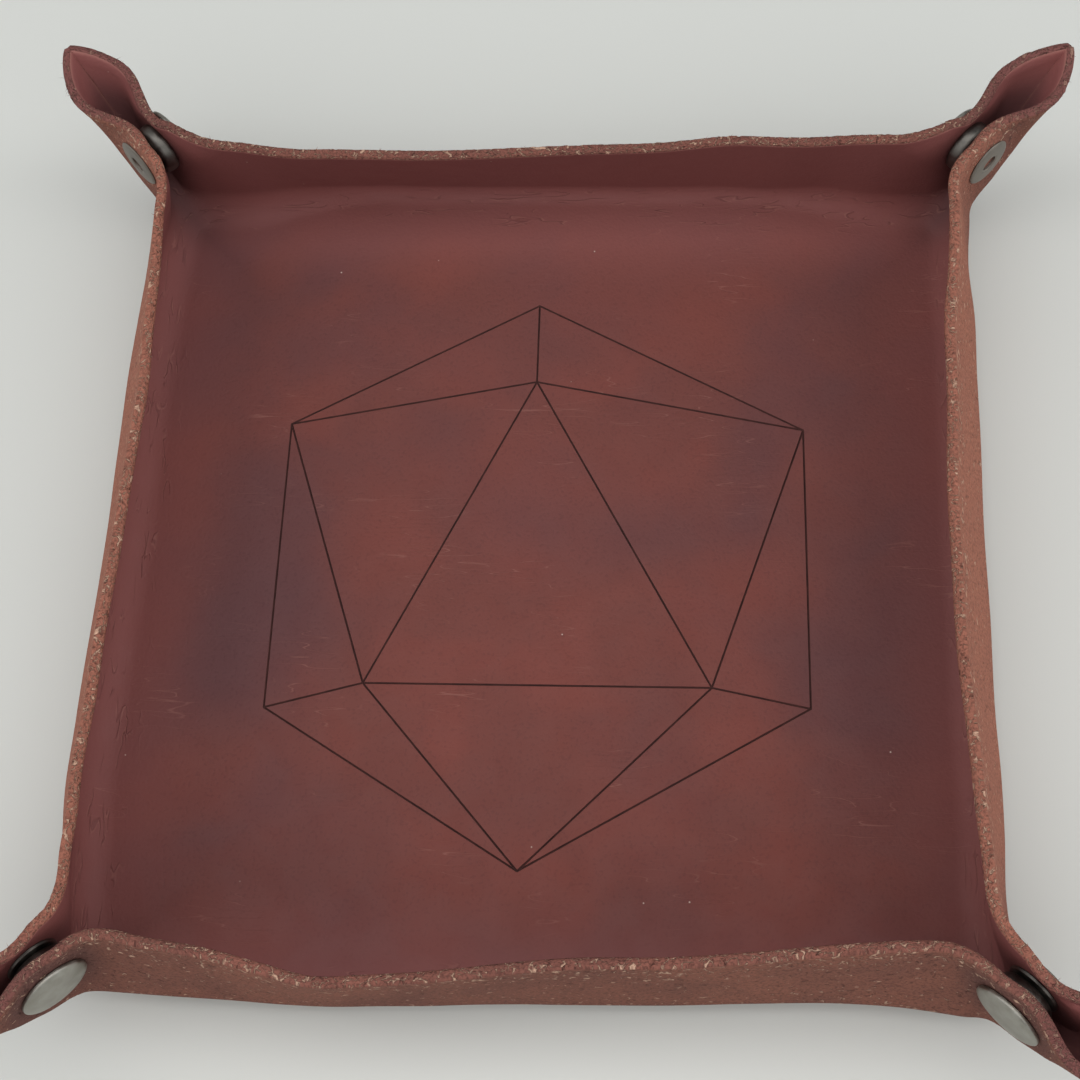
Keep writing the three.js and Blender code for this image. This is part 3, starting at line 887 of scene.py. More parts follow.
    def sway(self, side: Side, u: np.ndarray, d: np.ndarray) -> tuple[np.ndarray, np.ndarray]:
        """How far a side's own lean and fold carry the leather out and up from the even form.

        It is the side's own profile less the even one, plus a small sine ripple that grows towards the rim.

        Args:
            side: The side.
            u: Flat distance along the side.
            d: Flat distance from the sheet's centre.

        Returns:
            The difference in distance out and in height, none past the side's ends.
        """
        sway = self.sways[side]
        even = math.degrees(self.wall_lean)
        ends = [-self.lean_end, -self.sway_end], [self.sway_end, self.lean_end]
        places = np.array([*ends[0], *sway.places, *ends[1]])
        leans = np.array([even, sway.end_leans[0], *sway.leans, sway.end_leans[1], even])
        lean = np.radians(curve_through(places, leans, u))
        shift = curve_through(places[1:-1], np.array([0.0, *sway.shifts, 0.0]), u)
        inner = 1 - smoothstep(self.even_fold_start, self.even_fold_full, np.abs(u))
        height = np.clip((d - self.floor_half) / (self.half_side - self.floor_half), 0.0, 1.0)
        wave = self.ripple * height * np.sin(self.ripple_turn * u + self.ripple_phase * sway.shifts[5])
        wave = wave * (1 - smoothstep(*self.ripple_fade, np.abs(u)))
        out, up = self.profile(d, lean, shift, lerp(self.fold_radius, sway.radius, inner))
        even_out, even_up = self.profile(d)
        return out - even_out + wave, up - even_up

    def bend_size(self, up: np.ndarray) -> np.ndarray:
        """Radius of the corner bend, wider towards the rim than beside the snap."""
        return lerp(self.bend_radius, self.rim_bend_radius, smoothstep(self.snap_height, self.rim_height, up))

    def straight_end(self, d: np.ndarray) -> np.ndarray:
        """Where a side's corner bend starts, always short of the diagonal.

        Args:
            d: Flat distance from the sheet's centre.

        Returns:
            Flat distance along the side.
        """
        out, up = self.profile(np.maximum(d, self.fold_end))
        bend = self.bend_size(up) * math.tan(math.pi / 8)
        return np.minimum(out - bend - self.ear_offset / DIAGONAL, d - self.corner_room)

    def base_corner(self, share: np.ndarray, d: np.ndarray) -> np.ndarray:
        """Plain rounded corner below the ear: straight on, then an eighth of a turn to the diagonal.

        Args:
            share: 0 at the start of the corner, 1 on the diagonal.
            d: Flat distance from the sheet's centre.

        Returns:
            Points in the back wall's frame.
        """
        out, up = self.profile(d)
        start = self.straight_end(d)
        rising = smoothstep(self.panel_start, self.fold_middle, d)
        radius = self.base_corner_radius * rising + self.least_radius
        radius = np.minimum(radius, np.maximum(out - start, self.least_radius))
        straight = np.maximum(out - radius - start, 0.0)
        arc = radius * math.pi / 4
        along = share * (straight + arc)
        turn = np.clip((along - straight) / radius, 0.0, math.pi / 4)
        x = np.minimum(start, out - radius) + np.minimum(along, straight) + radius * np.sin(turn)
        return np.stack([x, out - radius + radius * np.cos(turn), up + 0.0 * share], axis=-1)

    def ear_half(self, side: Side, hand: np.ndarray, share: np.ndarray, d: np.ndarray) -> np.ndarray:
        """Half an ear at one level: an arc, a flat seat along the diagonal, then a flare that closes on it.

        The flare is a cubic in (reach along the diagonal, q away from it), with the distance q rounded near
        the diagonal so that the two halves meet in a tight bend. Above the snap the seat is pinched in.

        Args:
            side: The side that carries it, which sets its flares and how far each tip turns off the diagonal.
            hand: 1 at the side's positive end and -1 at the other.
            share: 0 at the start of the corner bend, 1 on the diagonal.
            d: Flat distance from the sheet's centre.

        Returns:
            Points in the back wall's frame.
        """
        out, up = self.profile(d)
        height = np.clip((d - self.fold_end) / (self.half_side - self.fold_end), 0.0, self.ear_height_limit)
        radius = self.bend_size(up)
        start = self.straight_end(d)
        bend_x = start + radius * DIAGONAL
        bend_y = out + radius * (1 - DIAGONAL)
        seat_start = (bend_x + bend_y) * DIAGONAL
        seat_q = (bend_y - bend_x) * DIAGONAL
        tip_up = up + self.tip_rise * height
        tip = self.fold_reach_at_floor + self.fold_reach_slope * tip_up
        above = np.maximum(up - self.snap_height, 0.0)
        clear = np.sqrt(np.maximum(self.snap_clear**2 - above**2, self.least_clear_square))
        seat_end = np.minimum(self.snap_reach + clear, tip - self.ear_closing)
        seat_end = np.maximum(seat_end, seat_start + self.least_seat)
        length = tip - seat_end
        lengths = [radius * math.pi / 4, seat_end - seat_start, self.flare_stretch * length]
        along = share * sum(lengths)
        turn = np.clip(along / radius, 0.0, math.pi / 4)
        seat = np.clip((along - lengths[0]) / lengths[1], 0.0, 1.0)
        t = np.clip((along - lengths[0] - lengths[1]) / lengths[2], 0.0, 1.0)
        flares, turns = self.ear_flares[side], self.ear_turns[side]
        rise = np.clip(height, 0.0, 1.0) ** 2
        flare = seat_q + np.where(hand < 0, flares[0], flares[1]) * rise
        tip_q = np.where(hand < 0, turns[0], turns[1]) * rise
        q = bezier(seat_q, seat_q, flare + tip_q, tip_q, t)
        handles = seat_end + self.flare_start * length, tip - self.tip_taper * length
        reach = bezier(seat_end, *handles, tip, t)
        away = q - tip_q
        soft = np.sqrt(away * away + self.tip_round**2) - self.tip_round
        near_tip = smoothstep(self.tip_start, 1.0, t)
        reach = reach + (away - soft) * near_tip * self.tip_pull - self.tip_pull * self.tip_round * near_tip
        on_flare = (t > 0).astype(float)
        reach = lerp(lerp(seat_start, seat_end, seat), reach, on_flare)
        q = lerp(seat_q, q, on_flare)
        above_snap = smoothstep(self.snap_height + self.pinch_start, self.snap_height + self.pinch_full, up)
        on_seat = smoothstep(0.0, self.pinch_seat, seat) * (1 - smoothstep(0.0, self.pinch_end, t))
        q = q - self.rim_pinch * above_snap * on_seat
        on_bend = (along < lengths[0]).astype(float)
        x = lerp((reach - q) * DIAGONAL, start + radius * np.sin(turn), on_bend)
        y = lerp((reach + q) * DIAGONAL, out + radius * (1 - np.cos(turn)), on_bend)
        z = lerp(up, tip_up, smoothstep(0.0, 1.0, t))
        return np.stack([x, y, z], axis=-1)

    def middle(self, side: Side, u: np.ndarray, d: np.ndarray) -> np.ndarray:
        """The middle surface in the back wall's frame.

        Straight at (u, out, up) along the side, then a mix of the base corner and the ear half by height,
        plus the side's own sway.

        Args:
            side: The side, which sets the sway.
            u: Flat distance along the side, positive to the frame's right.
            d: Flat distance from the sheet's centre.

        Returns:
            Points in the back wall's frame, in millimetres.
        """
        u, d = np.broadcast_arrays(u, d)
        hand = np.where(u < 0, -1.0, 1.0)
        out, up = self.profile(d)
        start = self.straight_end(d)
        share = np.clip((np.abs(u) - start) / np.maximum(d - start, TINY), 0.0, 1.0)
        ear = smoothstep(self.fold_middle, self.fold_end + self.ear_foot, d)[..., None]
        corner = lerp(self.base_corner(share, d), self.ear_half(side, hand, share, d), ear)
        flat = np.stack([np.abs(u), out, up], axis=-1)
        points = np.where((np.abs(u) > start)[..., None], corner, flat)
        points = points * np.stack([hand, np.ones_like(hand), np.ones_like(hand)], axis=-1)
        more_out, more_up = self.sway(side, u, d)
        points[..., 1] += more_out
        points[..., 2] += more_up
        return points

    def normal(self, side: Side, u: np.ndarray, d: np.ndarray) -> np.ndarray:
        """Outward unit normal of the middle surface, by small differences kept inside the half.

        On the diagonal it is turned into the diagonal's own upright plane, so that two neighbours meet there.

        Args:
            side: The side.
            u: Flat distance along the side.
            d: Flat distance from the sheet's centre.

        Returns:
            The normals in the back wall's frame.
        """
        step = self.slope_step
        u, d = np.broadcast_arrays(u, d)
        inward = np.where(u < 0, step, -step)
        over = np.abs(u) + step > d
        u_low = np.where(over & (u > 0), u - step, u - step * ~over)
        after, before = np.where(over, u, u + step), np.where(over, u + inward, u_low)
        along = self.middle(side, after, d) - self.middle(side, before, d)
        along = np.where((over & (u < 0))[..., None], -along, along)
        rise = self.middle(side, u, d + step) - self.middle(side, u, d - step)
        normal = np.cross(rise, along)
        hand = np.where(u < 0, -1.0, 1.0)
        across = np.stack([hand * DIAGONAL, np.full_like(hand, -DIAGONAL), np.zeros_like(hand)], axis=-1)
        inside = normal - across * (normal * across).sum(axis=-1, keepdims=True)
        normal = np.where((np.abs(u) > d - TINY)[..., None], inside, normal)
        return normal / np.linalg.norm(normal, axis=-1, keepdims=True)


@dataclass(frozen=True)
class RimFibre:
    """Loose fibres on the cut edge, in millimetres: ranges that are drawn from evenly, and spreads.

    The roots lie across the edge by shares of half the thickness, and are sunk a little into it. The root
    rise is a share of the edge's rounding, and the waist is how thick a fibre is half way, against its root.
    """

    gap: float = 0.7
    roots: tuple = (-0.3, 0.95)
    root_rise: float = 0.5
    slope_run: float = 0.1
    sunk: float = 0.1
    lean: float = 0.7
    outward: float = 0.4
    outward_spread: float = 0.6
    bend: float = 0.5
    lengths: tuple = (0.15, 0.85)
    length_power: float = 1.5
    widths: tuple = (0.03, 0.065)
    waist: float = 0.7
    tilt: float = 0.3
    seed_step: int = 300
    seed_start: int = 150


@dataclass
class LeatherSheet:
    """The sheet's panels: a floor with a burnt line figure, four walls and eight ear halves."""

    form: SheetForm
    finishes: list
    fibre: RimFibre = RimFibre()
    edge_round: float = 0.4
    rim_uneven: float = 0.13
    uneven_mean: float = 0.6
    uneven_tilt: float = 0.4
    uneven_below: float = 0.4
    knot_gap: float = 0.5
    uneven_fade: tuple = (108.0, 112.0)
    border_rise: float = 2.5
    foot_gap: float = 0.4
    turn_height: float = 6.0
    turn_rise: float = 4.0
    turn_step: float = 0.5
    turn_length: float = 6.0
    sharp_angle: float = math.radians(50)
    floor_sharp_angle: float = math.radians(22)
    wall_columns: int = 280
    corner_columns: int = 16
    rows: int = 36
    fold_rows: int = 14
    ear_columns: int = 70
    edge_rows: int = 6
    edge_map: float = 2.8
    floor_columns: int = 53
    floor_wave: float = 0.12
    wave_turns: tuple = (0.07, 0.06)
    wave_phase: float = 1.0
    wave_fade: float = 25.0
    figure_outer: tuple = (
        (-3.9, 60.0), (51.1, 31.2), (51.5, -28.3), (-3.6, -61.0), (-54.5, -30.0), (-54.6, 31.6),
    )
    figure_inner: tuple = ((-3.8, 41.8), (32.6, -24.4), (-35.4, -24.7))
    line_width: float = 0.42
    line_depth: float = 0.3
    line_clear: float = 1.2
    burnt_part: float = 0.47

    def border(self, d: np.ndarray) -> np.ndarray:
        """Where a wall panel ends: on the diagonal low down, in the middle of the corner bend above.

        Args:
            d: Flat distance from the sheet's centre.

        Returns:
            Flat distance along the side.
        """
        form = self.form
        start = form.straight_end(d)
        _, up = form.profile(d)
        bend = form.bend_size(up) * math.pi / 8
        return lerp(d, start + bend, smoothstep(form.fold_middle, form.fold_end + self.border_rise, d))

    def skins(self, side: Side, u: np.ndarray, d: np.ndarray) -> tuple[np.ndarray, np.ndarray, np.ndarray]:
        """Wrap a panel round its rim: up the grain side, over the cut edge and down the flesh side.

        Each point is the middle surface plus its normal times half the thickness and a share from -1 to 1.
        The edge stands out by its rounding times 1 - share^4, and by its uneven cut towards the flesh side.

        Args:
            side: The panel's side.
            u: Flat distances along the side, one row for each level.
            d: Flat distances from the centre, the same shape.

        Returns:
            Points, flat map coordinates and the slot of each row.
        """
        form = self.form
        shares = np.linspace(-1.0, 1.0, self.edge_rows + 2)[1:-1]
        top_d = d[-1] + self.edge_round * (1 - shares[:, None] ** 4)
        uneven = self.uneven_cut(side, u[-1])
        top_d = top_d + uneven * (self.uneven_mean + self.uneven_tilt * shares[:, None])
        top_u = np.broadcast_to(u[-1], top_d.shape)
        flesh_d = np.array(d)
        flesh_d[-2:] += uneven * np.array([[self.uneven_below], [1.0]])
        all_u = np.concatenate([u, top_u, u[::-1]])
        all_d = np.concatenate([d, top_d, flesh_d[::-1]])
        share = np.concatenate([-np.ones(len(u)), shares, np.ones(len(u))])[:, None, None]
        normals = form.normal(side, all_u, all_d)
        points = form.middle(side, all_u, all_d) + normals * share * form.thickness / 2
        flat = np.stack([all_u, all_d, np.zeros_like(all_u)], axis=-1)
        flat[len(u):-len(u), :, 1] += (1 + shares[:, None]) * self.edge_map / 2
        slots = np.concatenate([
            np.full(len(u) - 1, Skin.GRAIN.value),
            np.full(self.edge_rows + 1, Skin.EDGE.value),
            np.full(len(u) - 1, Skin.FLESH.value),
        ])
        return side.place(points), side.place(flat), slots

    def uneven_cut(self, side: Side, u: np.ndarray) -> np.ndarray:
        """How far the rim's cut wanders: random heights at evenly spaced knots, none on a diagonal.

        Args:
            side: The side, which sets the draw.
            u: Flat distance along the side.

        Returns:
            How far the cut stands out, in millimetres.
        """
        knots = np.arange(-self.form.half_side, self.form.half_side, self.knot_gap)
        heights = np.random.default_rng(list(Side).index(side)).normal(0.0, self.rim_uneven, len(knots))
        return np.interp(u, knots, heights) * (1 - smoothstep(*self.uneven_fade, np.abs(u)))

    def loose_fibres(self, side: Side, u: np.ndarray, d: np.ndarray) -> tuple[np.ndarray, np.ndarray, list]:
        """Loose fibres on a panel's rim: closed three-sided spikes at random places on the cut edge.

        A spike has a root ring, a thinner ring half way and a tip. Its middle line is
        root + t * length * (direction + t * bend) for t of 0, 0.5 and 1.

        Args:
            side: The panel's side.
            u: Flat distances along the side, one row for each level.
            d: Flat distances from the centre, the same shape.

        Returns:
            Points on this side, flat map coordinates and faces, seven for each spike.
        """
        form, fibre = self.form, self.fibre
        low, high = u[-1].min(), u[-1].max()
        count = int((high - low) / fibre.gap)
        seed = list(Side).index(side) * fibre.seed_step + int(fibre.seed_start + u[-1].mean())
        draw = np.random.default_rng(seed)
        at = draw.uniform(low, high, count)
        rim = np.full(count, d[-1, 0] + fibre.root_rise * self.edge_round)
        out = form.normal(side, at, rim)
        rise = form.middle(side, at, rim) - form.middle(side, at, rim - fibre.slope_run)
        rise /= np.linalg.norm(rise, axis=1, keepdims=True)
        along = np.cross(rise, out)
        root = form.middle(side, at, rim) + out * draw.uniform(*fibre.roots, (count, 1)) * form.thickness / 2
        lean = draw.normal(0.0, fibre.lean, (count, 3))
        outward = fibre.outward + fibre.outward_spread * lean[:, 1:2]
        direction = rise * np.abs(lean[:, :1]) + out * outward + along * lean[:, 2:]
        direction /= np.linalg.norm(direction, axis=1, keepdims=True)
        bend = draw.normal(0.0, fibre.bend, (count, 3))
        length = draw.uniform(*fibre.lengths, (count, 1)) ** fibre.length_power
        width = draw.uniform(*fibre.widths, (count, 1))
        turn = np.arange(3) * 2 * math.pi / 3
        beside = np.cross(direction, along + fibre.tilt * rise)
        beside /= np.linalg.norm(beside, axis=1, keepdims=True)
        over = np.cross(direction, beside)
        ring = np.cos(turn)[None, :, None] * beside[:, None] + np.sin(turn)[None, :, None] * over[:, None]
        ring = ring * width[:, None]
        half = root + 0.5 * length * (direction + 0.5 * bend)
        tip = root + length * (direction + bend)
        foot = root - fibre.sunk * direction
        rings = [foot[:, None] + ring, half[:, None] + fibre.waist * ring]
        points = np.concatenate([*rings, tip[:, None]], axis=1)
        each = points.shape[1]
        flat = np.stack([np.repeat(at, each), np.repeat(rim, each), np.zeros(each * count)], axis=-1)
        pattern = ([2, 1, 0], [0, 1, 4, 3], [1, 2, 5, 4], [2, 0, 3, 5], [3, 4, 6], [4, 5, 6], [5, 3, 6])
        faces = [[each * spike + corner for corner in face] for spike in range(count) for face in pattern]
        return side.place(points.reshape(-1, 3)), side.place(flat), faces

    def panel(self, name: str, side: Side, u: np.ndarray, d: np.ndarray) -> bpy.types.Object:
        """Build a closed panel of leather from a grid of flat distances.

        Args:
            name: Piece name.
            side: The panel's side.
            u: Flat distances along the side, one row for each level.
            d: Flat distances from the centre, the same shape.

        Returns:
            The panel with its slots and flat map set.
        """
        points, flat, slots = self.skins(side, u, d)
        rows, columns = points.shape[:2]
        index = np.arange(rows * columns).reshape(rows, columns)
        quads = [grid_quads(rows, columns)]
        kinds = [np.repeat(slots, columns - 1)]
        half = rows // 2
        for column, order in ((0, [0, 1, 2, 3]), (columns - 1, [3, 2, 1, 0])):
            line = index[:, column]
            back = line[::-1]
            pairs = np.stack([line[: half - 1], line[1:half], back[1:half], back[: half - 1]], axis=-1)
            quads.append(pairs[:, order])
            kinds.append(np.full(half - 1, Skin.EDGE.value))
        quads.append(np.stack([index[0, :-1], index[-1, :-1], index[-1, 1:], index[0, 1:]], axis=-1))
        kinds.append(np.full(columns - 1, Skin.EDGE.value))
        faces = np.concatenate(quads)
        if not side.turns_over:
            faces = faces[:, ::-1]
        spikes, spike_flat, spike_faces = self.loose_fibres(side, u, d)
        order = -1 if side.turns_over else 1
        spike_faces = [[rows * columns + corner for corner in face[::order]] for face in spike_faces]
        kinds.append(np.full(len(spike_faces), Skin.EDGE.value))
        all_points = np.concatenate([points.reshape(-1, 3), spikes])
        made = make_object(name, all_points, faces.tolist() + spike_faces, self.finishes)
        made.data.polygons.foreach_set("material_index", np.concatenate(kinds).astype(np.int32))
        corners = np.concatenate([faces.reshape(-1), [corner for face in spike_faces for corner in face]])
        mapped = np.concatenate([flat.reshape(-1, 3), spike_flat])[corners]
        # The last strip of the cut edge ends on the flesh side's first row, whose map lies lower, so the
        # strip's corners there are lifted to where the edge's own map ends.
        flesh = (rows + self.edge_rows) // 2
        last = np.arange(4 * (flesh - 1) * (columns - 1), 4 * flesh * (columns - 1))
        mapped[last[corners[last] >= flesh * columns]] += side.place(np.array([0.0, self.edge_map, 0.0]))
        self.map_flat(made, mapped[:, :2])
        made.data.set_sharp_from_angle(angle=self.sharp_angle)
        return made

    def map_flat(self, made: bpy.types.Object, flat: np.ndarray) -> None:
        """Store the flat sheet's coordinates as the UV map, the whole sheet filling 0 to 1.

        Args:
            made: The panel.
            flat: x and y on the flat sheet for each face corner.
        """
        layer = made.data.uv_layers.new(name="flat_sheet")
        shares = flat / (2 * self.form.half_side) + 0.5
        layer.data.foreach_set("uv", shares.astype(np.float32).reshape(-1))

    @property
    def ear_levels(self) -> np.ndarray:
        """Flat distances of the rows that walls and ears share, from the ear's foot to the rim."""
        foot = self.form.fold_middle + self.foot_gap
        return np.linspace(foot, self.form.half_side - self.edge_round, self.rows)

    def wall(self, side: Side) -> bpy.types.Object:
        """Build a wall from the floor's edge over its fold to the rim.

        Args:
            side: The wall's side.

        Returns:
            The panel, folded up from the floor's edge.
        """
        form = self.form
        low_levels = np.linspace(form.panel_start, form.fold_middle + self.foot_gap, self.fold_rows)[:-1]
        levels = np.concatenate([low_levels, self.ear_levels])
        start, end = form.straight_end(levels), self.border(levels)
        middle = np.linspace(-1.0, 1.0, self.wall_columns)[None, :] * start[:, None]
        share = np.linspace(0.0, 1.0, self.corner_columns + 1)[None, 1:]
        outer = start[:, None] + share * (end - start)[:, None]
        u = np.concatenate([-outer[:, ::-1], middle, outer], axis=1)
        made = self.panel(f"leather_{side.body}", side, u, np.broadcast_to(levels[:, None], u.shape))
        out, up = form.profile(np.array(form.fold_end))
        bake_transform(made)
        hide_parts(side.body)
        return made

    def ear(self, side: Side, hand: int, corner: Corner, kind: str) -> bpy.types.Object:
        """Build half an ear, from the middle of its corner bend to the diagonal.

        Args:
            side: The side whose wall carries it.
            hand: 1 where it stands at the positive end of the side in the back wall's frame, otherwise -1.
            corner: The corner it belongs to.
            kind: "cap" or "stud", the snap half that it carries.

        Returns:
            The panel.
        """
        form = self.form
        levels = self.ear_levels
        start = self.border(levels)
        share = np.linspace(0.0, 1.0, self.ear_columns)[None, :]
        u = hand * (start[:, None] + share * (levels - start)[:, None])
        if hand < 0:
            u = u[:, ::-1]
        node = f"{corner.label}_{kind}_leaf"
        made = self.panel(f"leather_{node}", side, u, np.broadcast_to(levels[:, None], u.shape))
        d = np.array([form.fold_end + self.turn_height])
        higher = d + self.turn_rise
        at = form.middle(side, hand * self.border(d), d)[0]
        ahead = form.middle(side, hand * (self.border(d) + self.turn_step), d)[0] - at
        axis = form.middle(side, hand * self.border(higher), higher)[0] - at
        axis /= np.linalg.norm(axis)
        ahead -= axis * (ahead @ axis)
        ahead *= self.turn_length / np.linalg.norm(ahead)
        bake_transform(made)
        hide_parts(node)
        return made

    def figure(self) -> np.ndarray:
        """Ends of the lines of a twenty-sided solid seen face on.

        Six outer corners form a ring, three inner ones a triangle in line with every other outer corner, and
        each inner corner joins the three outer ones nearest to it.

        Returns:
            Array of lines, each two points in the floor's plane.
        """
        outer, inner = np.array(self.figure_outer), np.array(self.figure_inner)
        ring = np.stack([outer, np.roll(outer, -1, axis=0)], axis=1)
        triangle = np.stack([inner, np.roll(inner, -1, axis=0)], axis=1)
        spokes = [np.stack([inner, np.roll(outer, -step, axis=0)[::2]], axis=1) for step in (0, 1, -1)]
        return np.concatenate([ring, triangle, *spokes])

    def line_distance(self, points: np.ndarray) -> np.ndarray:
        """Distance from the figure's nearest line.

        Args:
            points: Points in the floor's plane.

        Returns:
            The distance of each, to the nearest point between a line's ends.
        """
        lines = self.figure()
        start, run = lines[:, 0], lines[:, 1] - lines[:, 0]
        away = points[:, None, :] - start[None]
        share = np.clip((away * run).sum(-1) / (run * run).sum(-1), 0.0, 1.0)
        return np.linalg.norm(away - share[..., None] * run[None], axis=-1).min(axis=1)

    def floor(self) -> bpy.types.Object:
        """Build the floor: a slab whose top follows the figure's lines as shallow burnt grooves.

        The top is a triangle mesh through a grid of points and three parallel lines for each groove. Its
        depth falls from 0 at a groove's sides to full at its middle.

        Returns:
            The floor panel.
        """
        form = self.form
        half = form.panel_start
        ticks = np.linspace(-half, half, self.floor_columns)
        grid = np.stack(np.meshgrid(ticks, ticks), axis=-1).reshape(-1, 2)
        rim = np.abs(grid).max(axis=1) > half - TINY
        grid = grid[rim | (self.line_distance(grid) > self.line_clear * self.line_width)]
        lines = self.figure()
        run = lines[:, 1] - lines[:, 0]
        beside = np.stack([-run[:, 1], run[:, 0]], axis=-1) / np.linalg.norm(run, axis=1, keepdims=True)
        offsets = np.array([-0.5, 0.0, 0.5]) * self.line_width
        ends = (lines[:, None] + offsets[None, :, None, None] * beside[:, None, None, :]).reshape(-1, 2)
        edges = (np.arange(len(ends)).reshape(-1, 2) + len(grid)).tolist()
        points = [Vector(p) for p in np.concatenate([grid, ends]).tolist()]
        verts, _, faces, *_ = delaunay_2d_cdt(points, edges, [], 0, 1e-4)
        flat = np.array(verts)
        distance = self.line_distance(flat)
        depth = self.line_depth * np.clip(1 - distance / (self.line_width / 2), 0.0, 1.0)
        fade = np.clip((half - np.abs(flat).max(axis=1)) / self.wave_fade, 0.0, 1.0)
        turns = flat * self.wave_turns
        wave = self.floor_wave * fade * np.sin(turns[:, 0] + self.wave_phase) * np.sin(turns[:, 1])
        top = np.concatenate([flat, (form.thickness + wave - depth)[:, None]], axis=1)
        corners = half * np.array([[-1, -1], [1, -1], [1, 1], [-1, 1]])
        base = np.concatenate([corners, np.zeros((4, 1))], axis=1)
        tris = np.array(faces)
        centre = flat[tris].mean(axis=1)
        sunk = self.line_distance(centre) < self.burnt_part * self.line_width
        sides, bottom = self.slab_sides(flat, len(top))
        all_faces = tris.tolist() + sides + bottom
        made = make_object("leather_floor", np.concatenate([top, base]), all_faces, self.finishes)
        kinds = np.concatenate([
            np.where(sunk, Skin.BURNT.value, Skin.GRAIN.value),
            np.full(len(sides), Skin.EDGE.value),
            np.full(len(bottom), Skin.FLESH.value),
        ])
        made.data.polygons.foreach_set("material_index", kinds.astype(np.int32))
        loops = np.array([v for face in all_faces for v in face])
        self.map_flat(made, np.concatenate([flat, corners])[loops])
        made.data.set_sharp_from_angle(angle=self.floor_sharp_angle)
        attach(made, "tray_floor")
        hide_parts("floor_panel")
        return made

    def slab_sides(self, flat: np.ndarray, first: int) -> tuple[list, list]:
        """Faces that close the floor's slab: one polygon on each side and one below.

        Args:
            flat: The top's points in the plane.
            first: Index of the first of the four bottom corners.

        Returns:
            The side faces and the bottom face.
        """
        half = self.form.panel_start
        sides = []
        turns = ((1, -1, 1, 0, 1), (0, 1, 1, 1, 2), (1, 1, -1, 2, 3), (0, -1, -1, 3, 0))
        for axis, sign, along, low, high in turns:
            on = np.flatnonzero(np.abs(flat[:, axis] - sign * half) < 1e-3)
            order = on[np.argsort(along * flat[on, 1 - axis])]
            sides.append([first + low, first + high, *order[::-1].tolist()])
        return sides, [[first + 3, first + 2, first + 1, first]]

    def build(self) -> list[bpy.types.Object]:
        """Build every panel of the sheet.

        Returns:
            The panels.
        """
        made = [self.floor()]
        made += [self.wall(side) for side in Side]
        for corner in Corner:
            sign_x, sign_y = corner.value
            across = Side.BACK if sign_y > 0 else Side.FRONT
            beside = Side.RIGHT if sign_x > 0 else Side.LEFT
            made.append(self.ear(across, sign_x, corner, "cap"))
            made.append(self.ear(beside, sign_y, corner, "stud"))
        return made


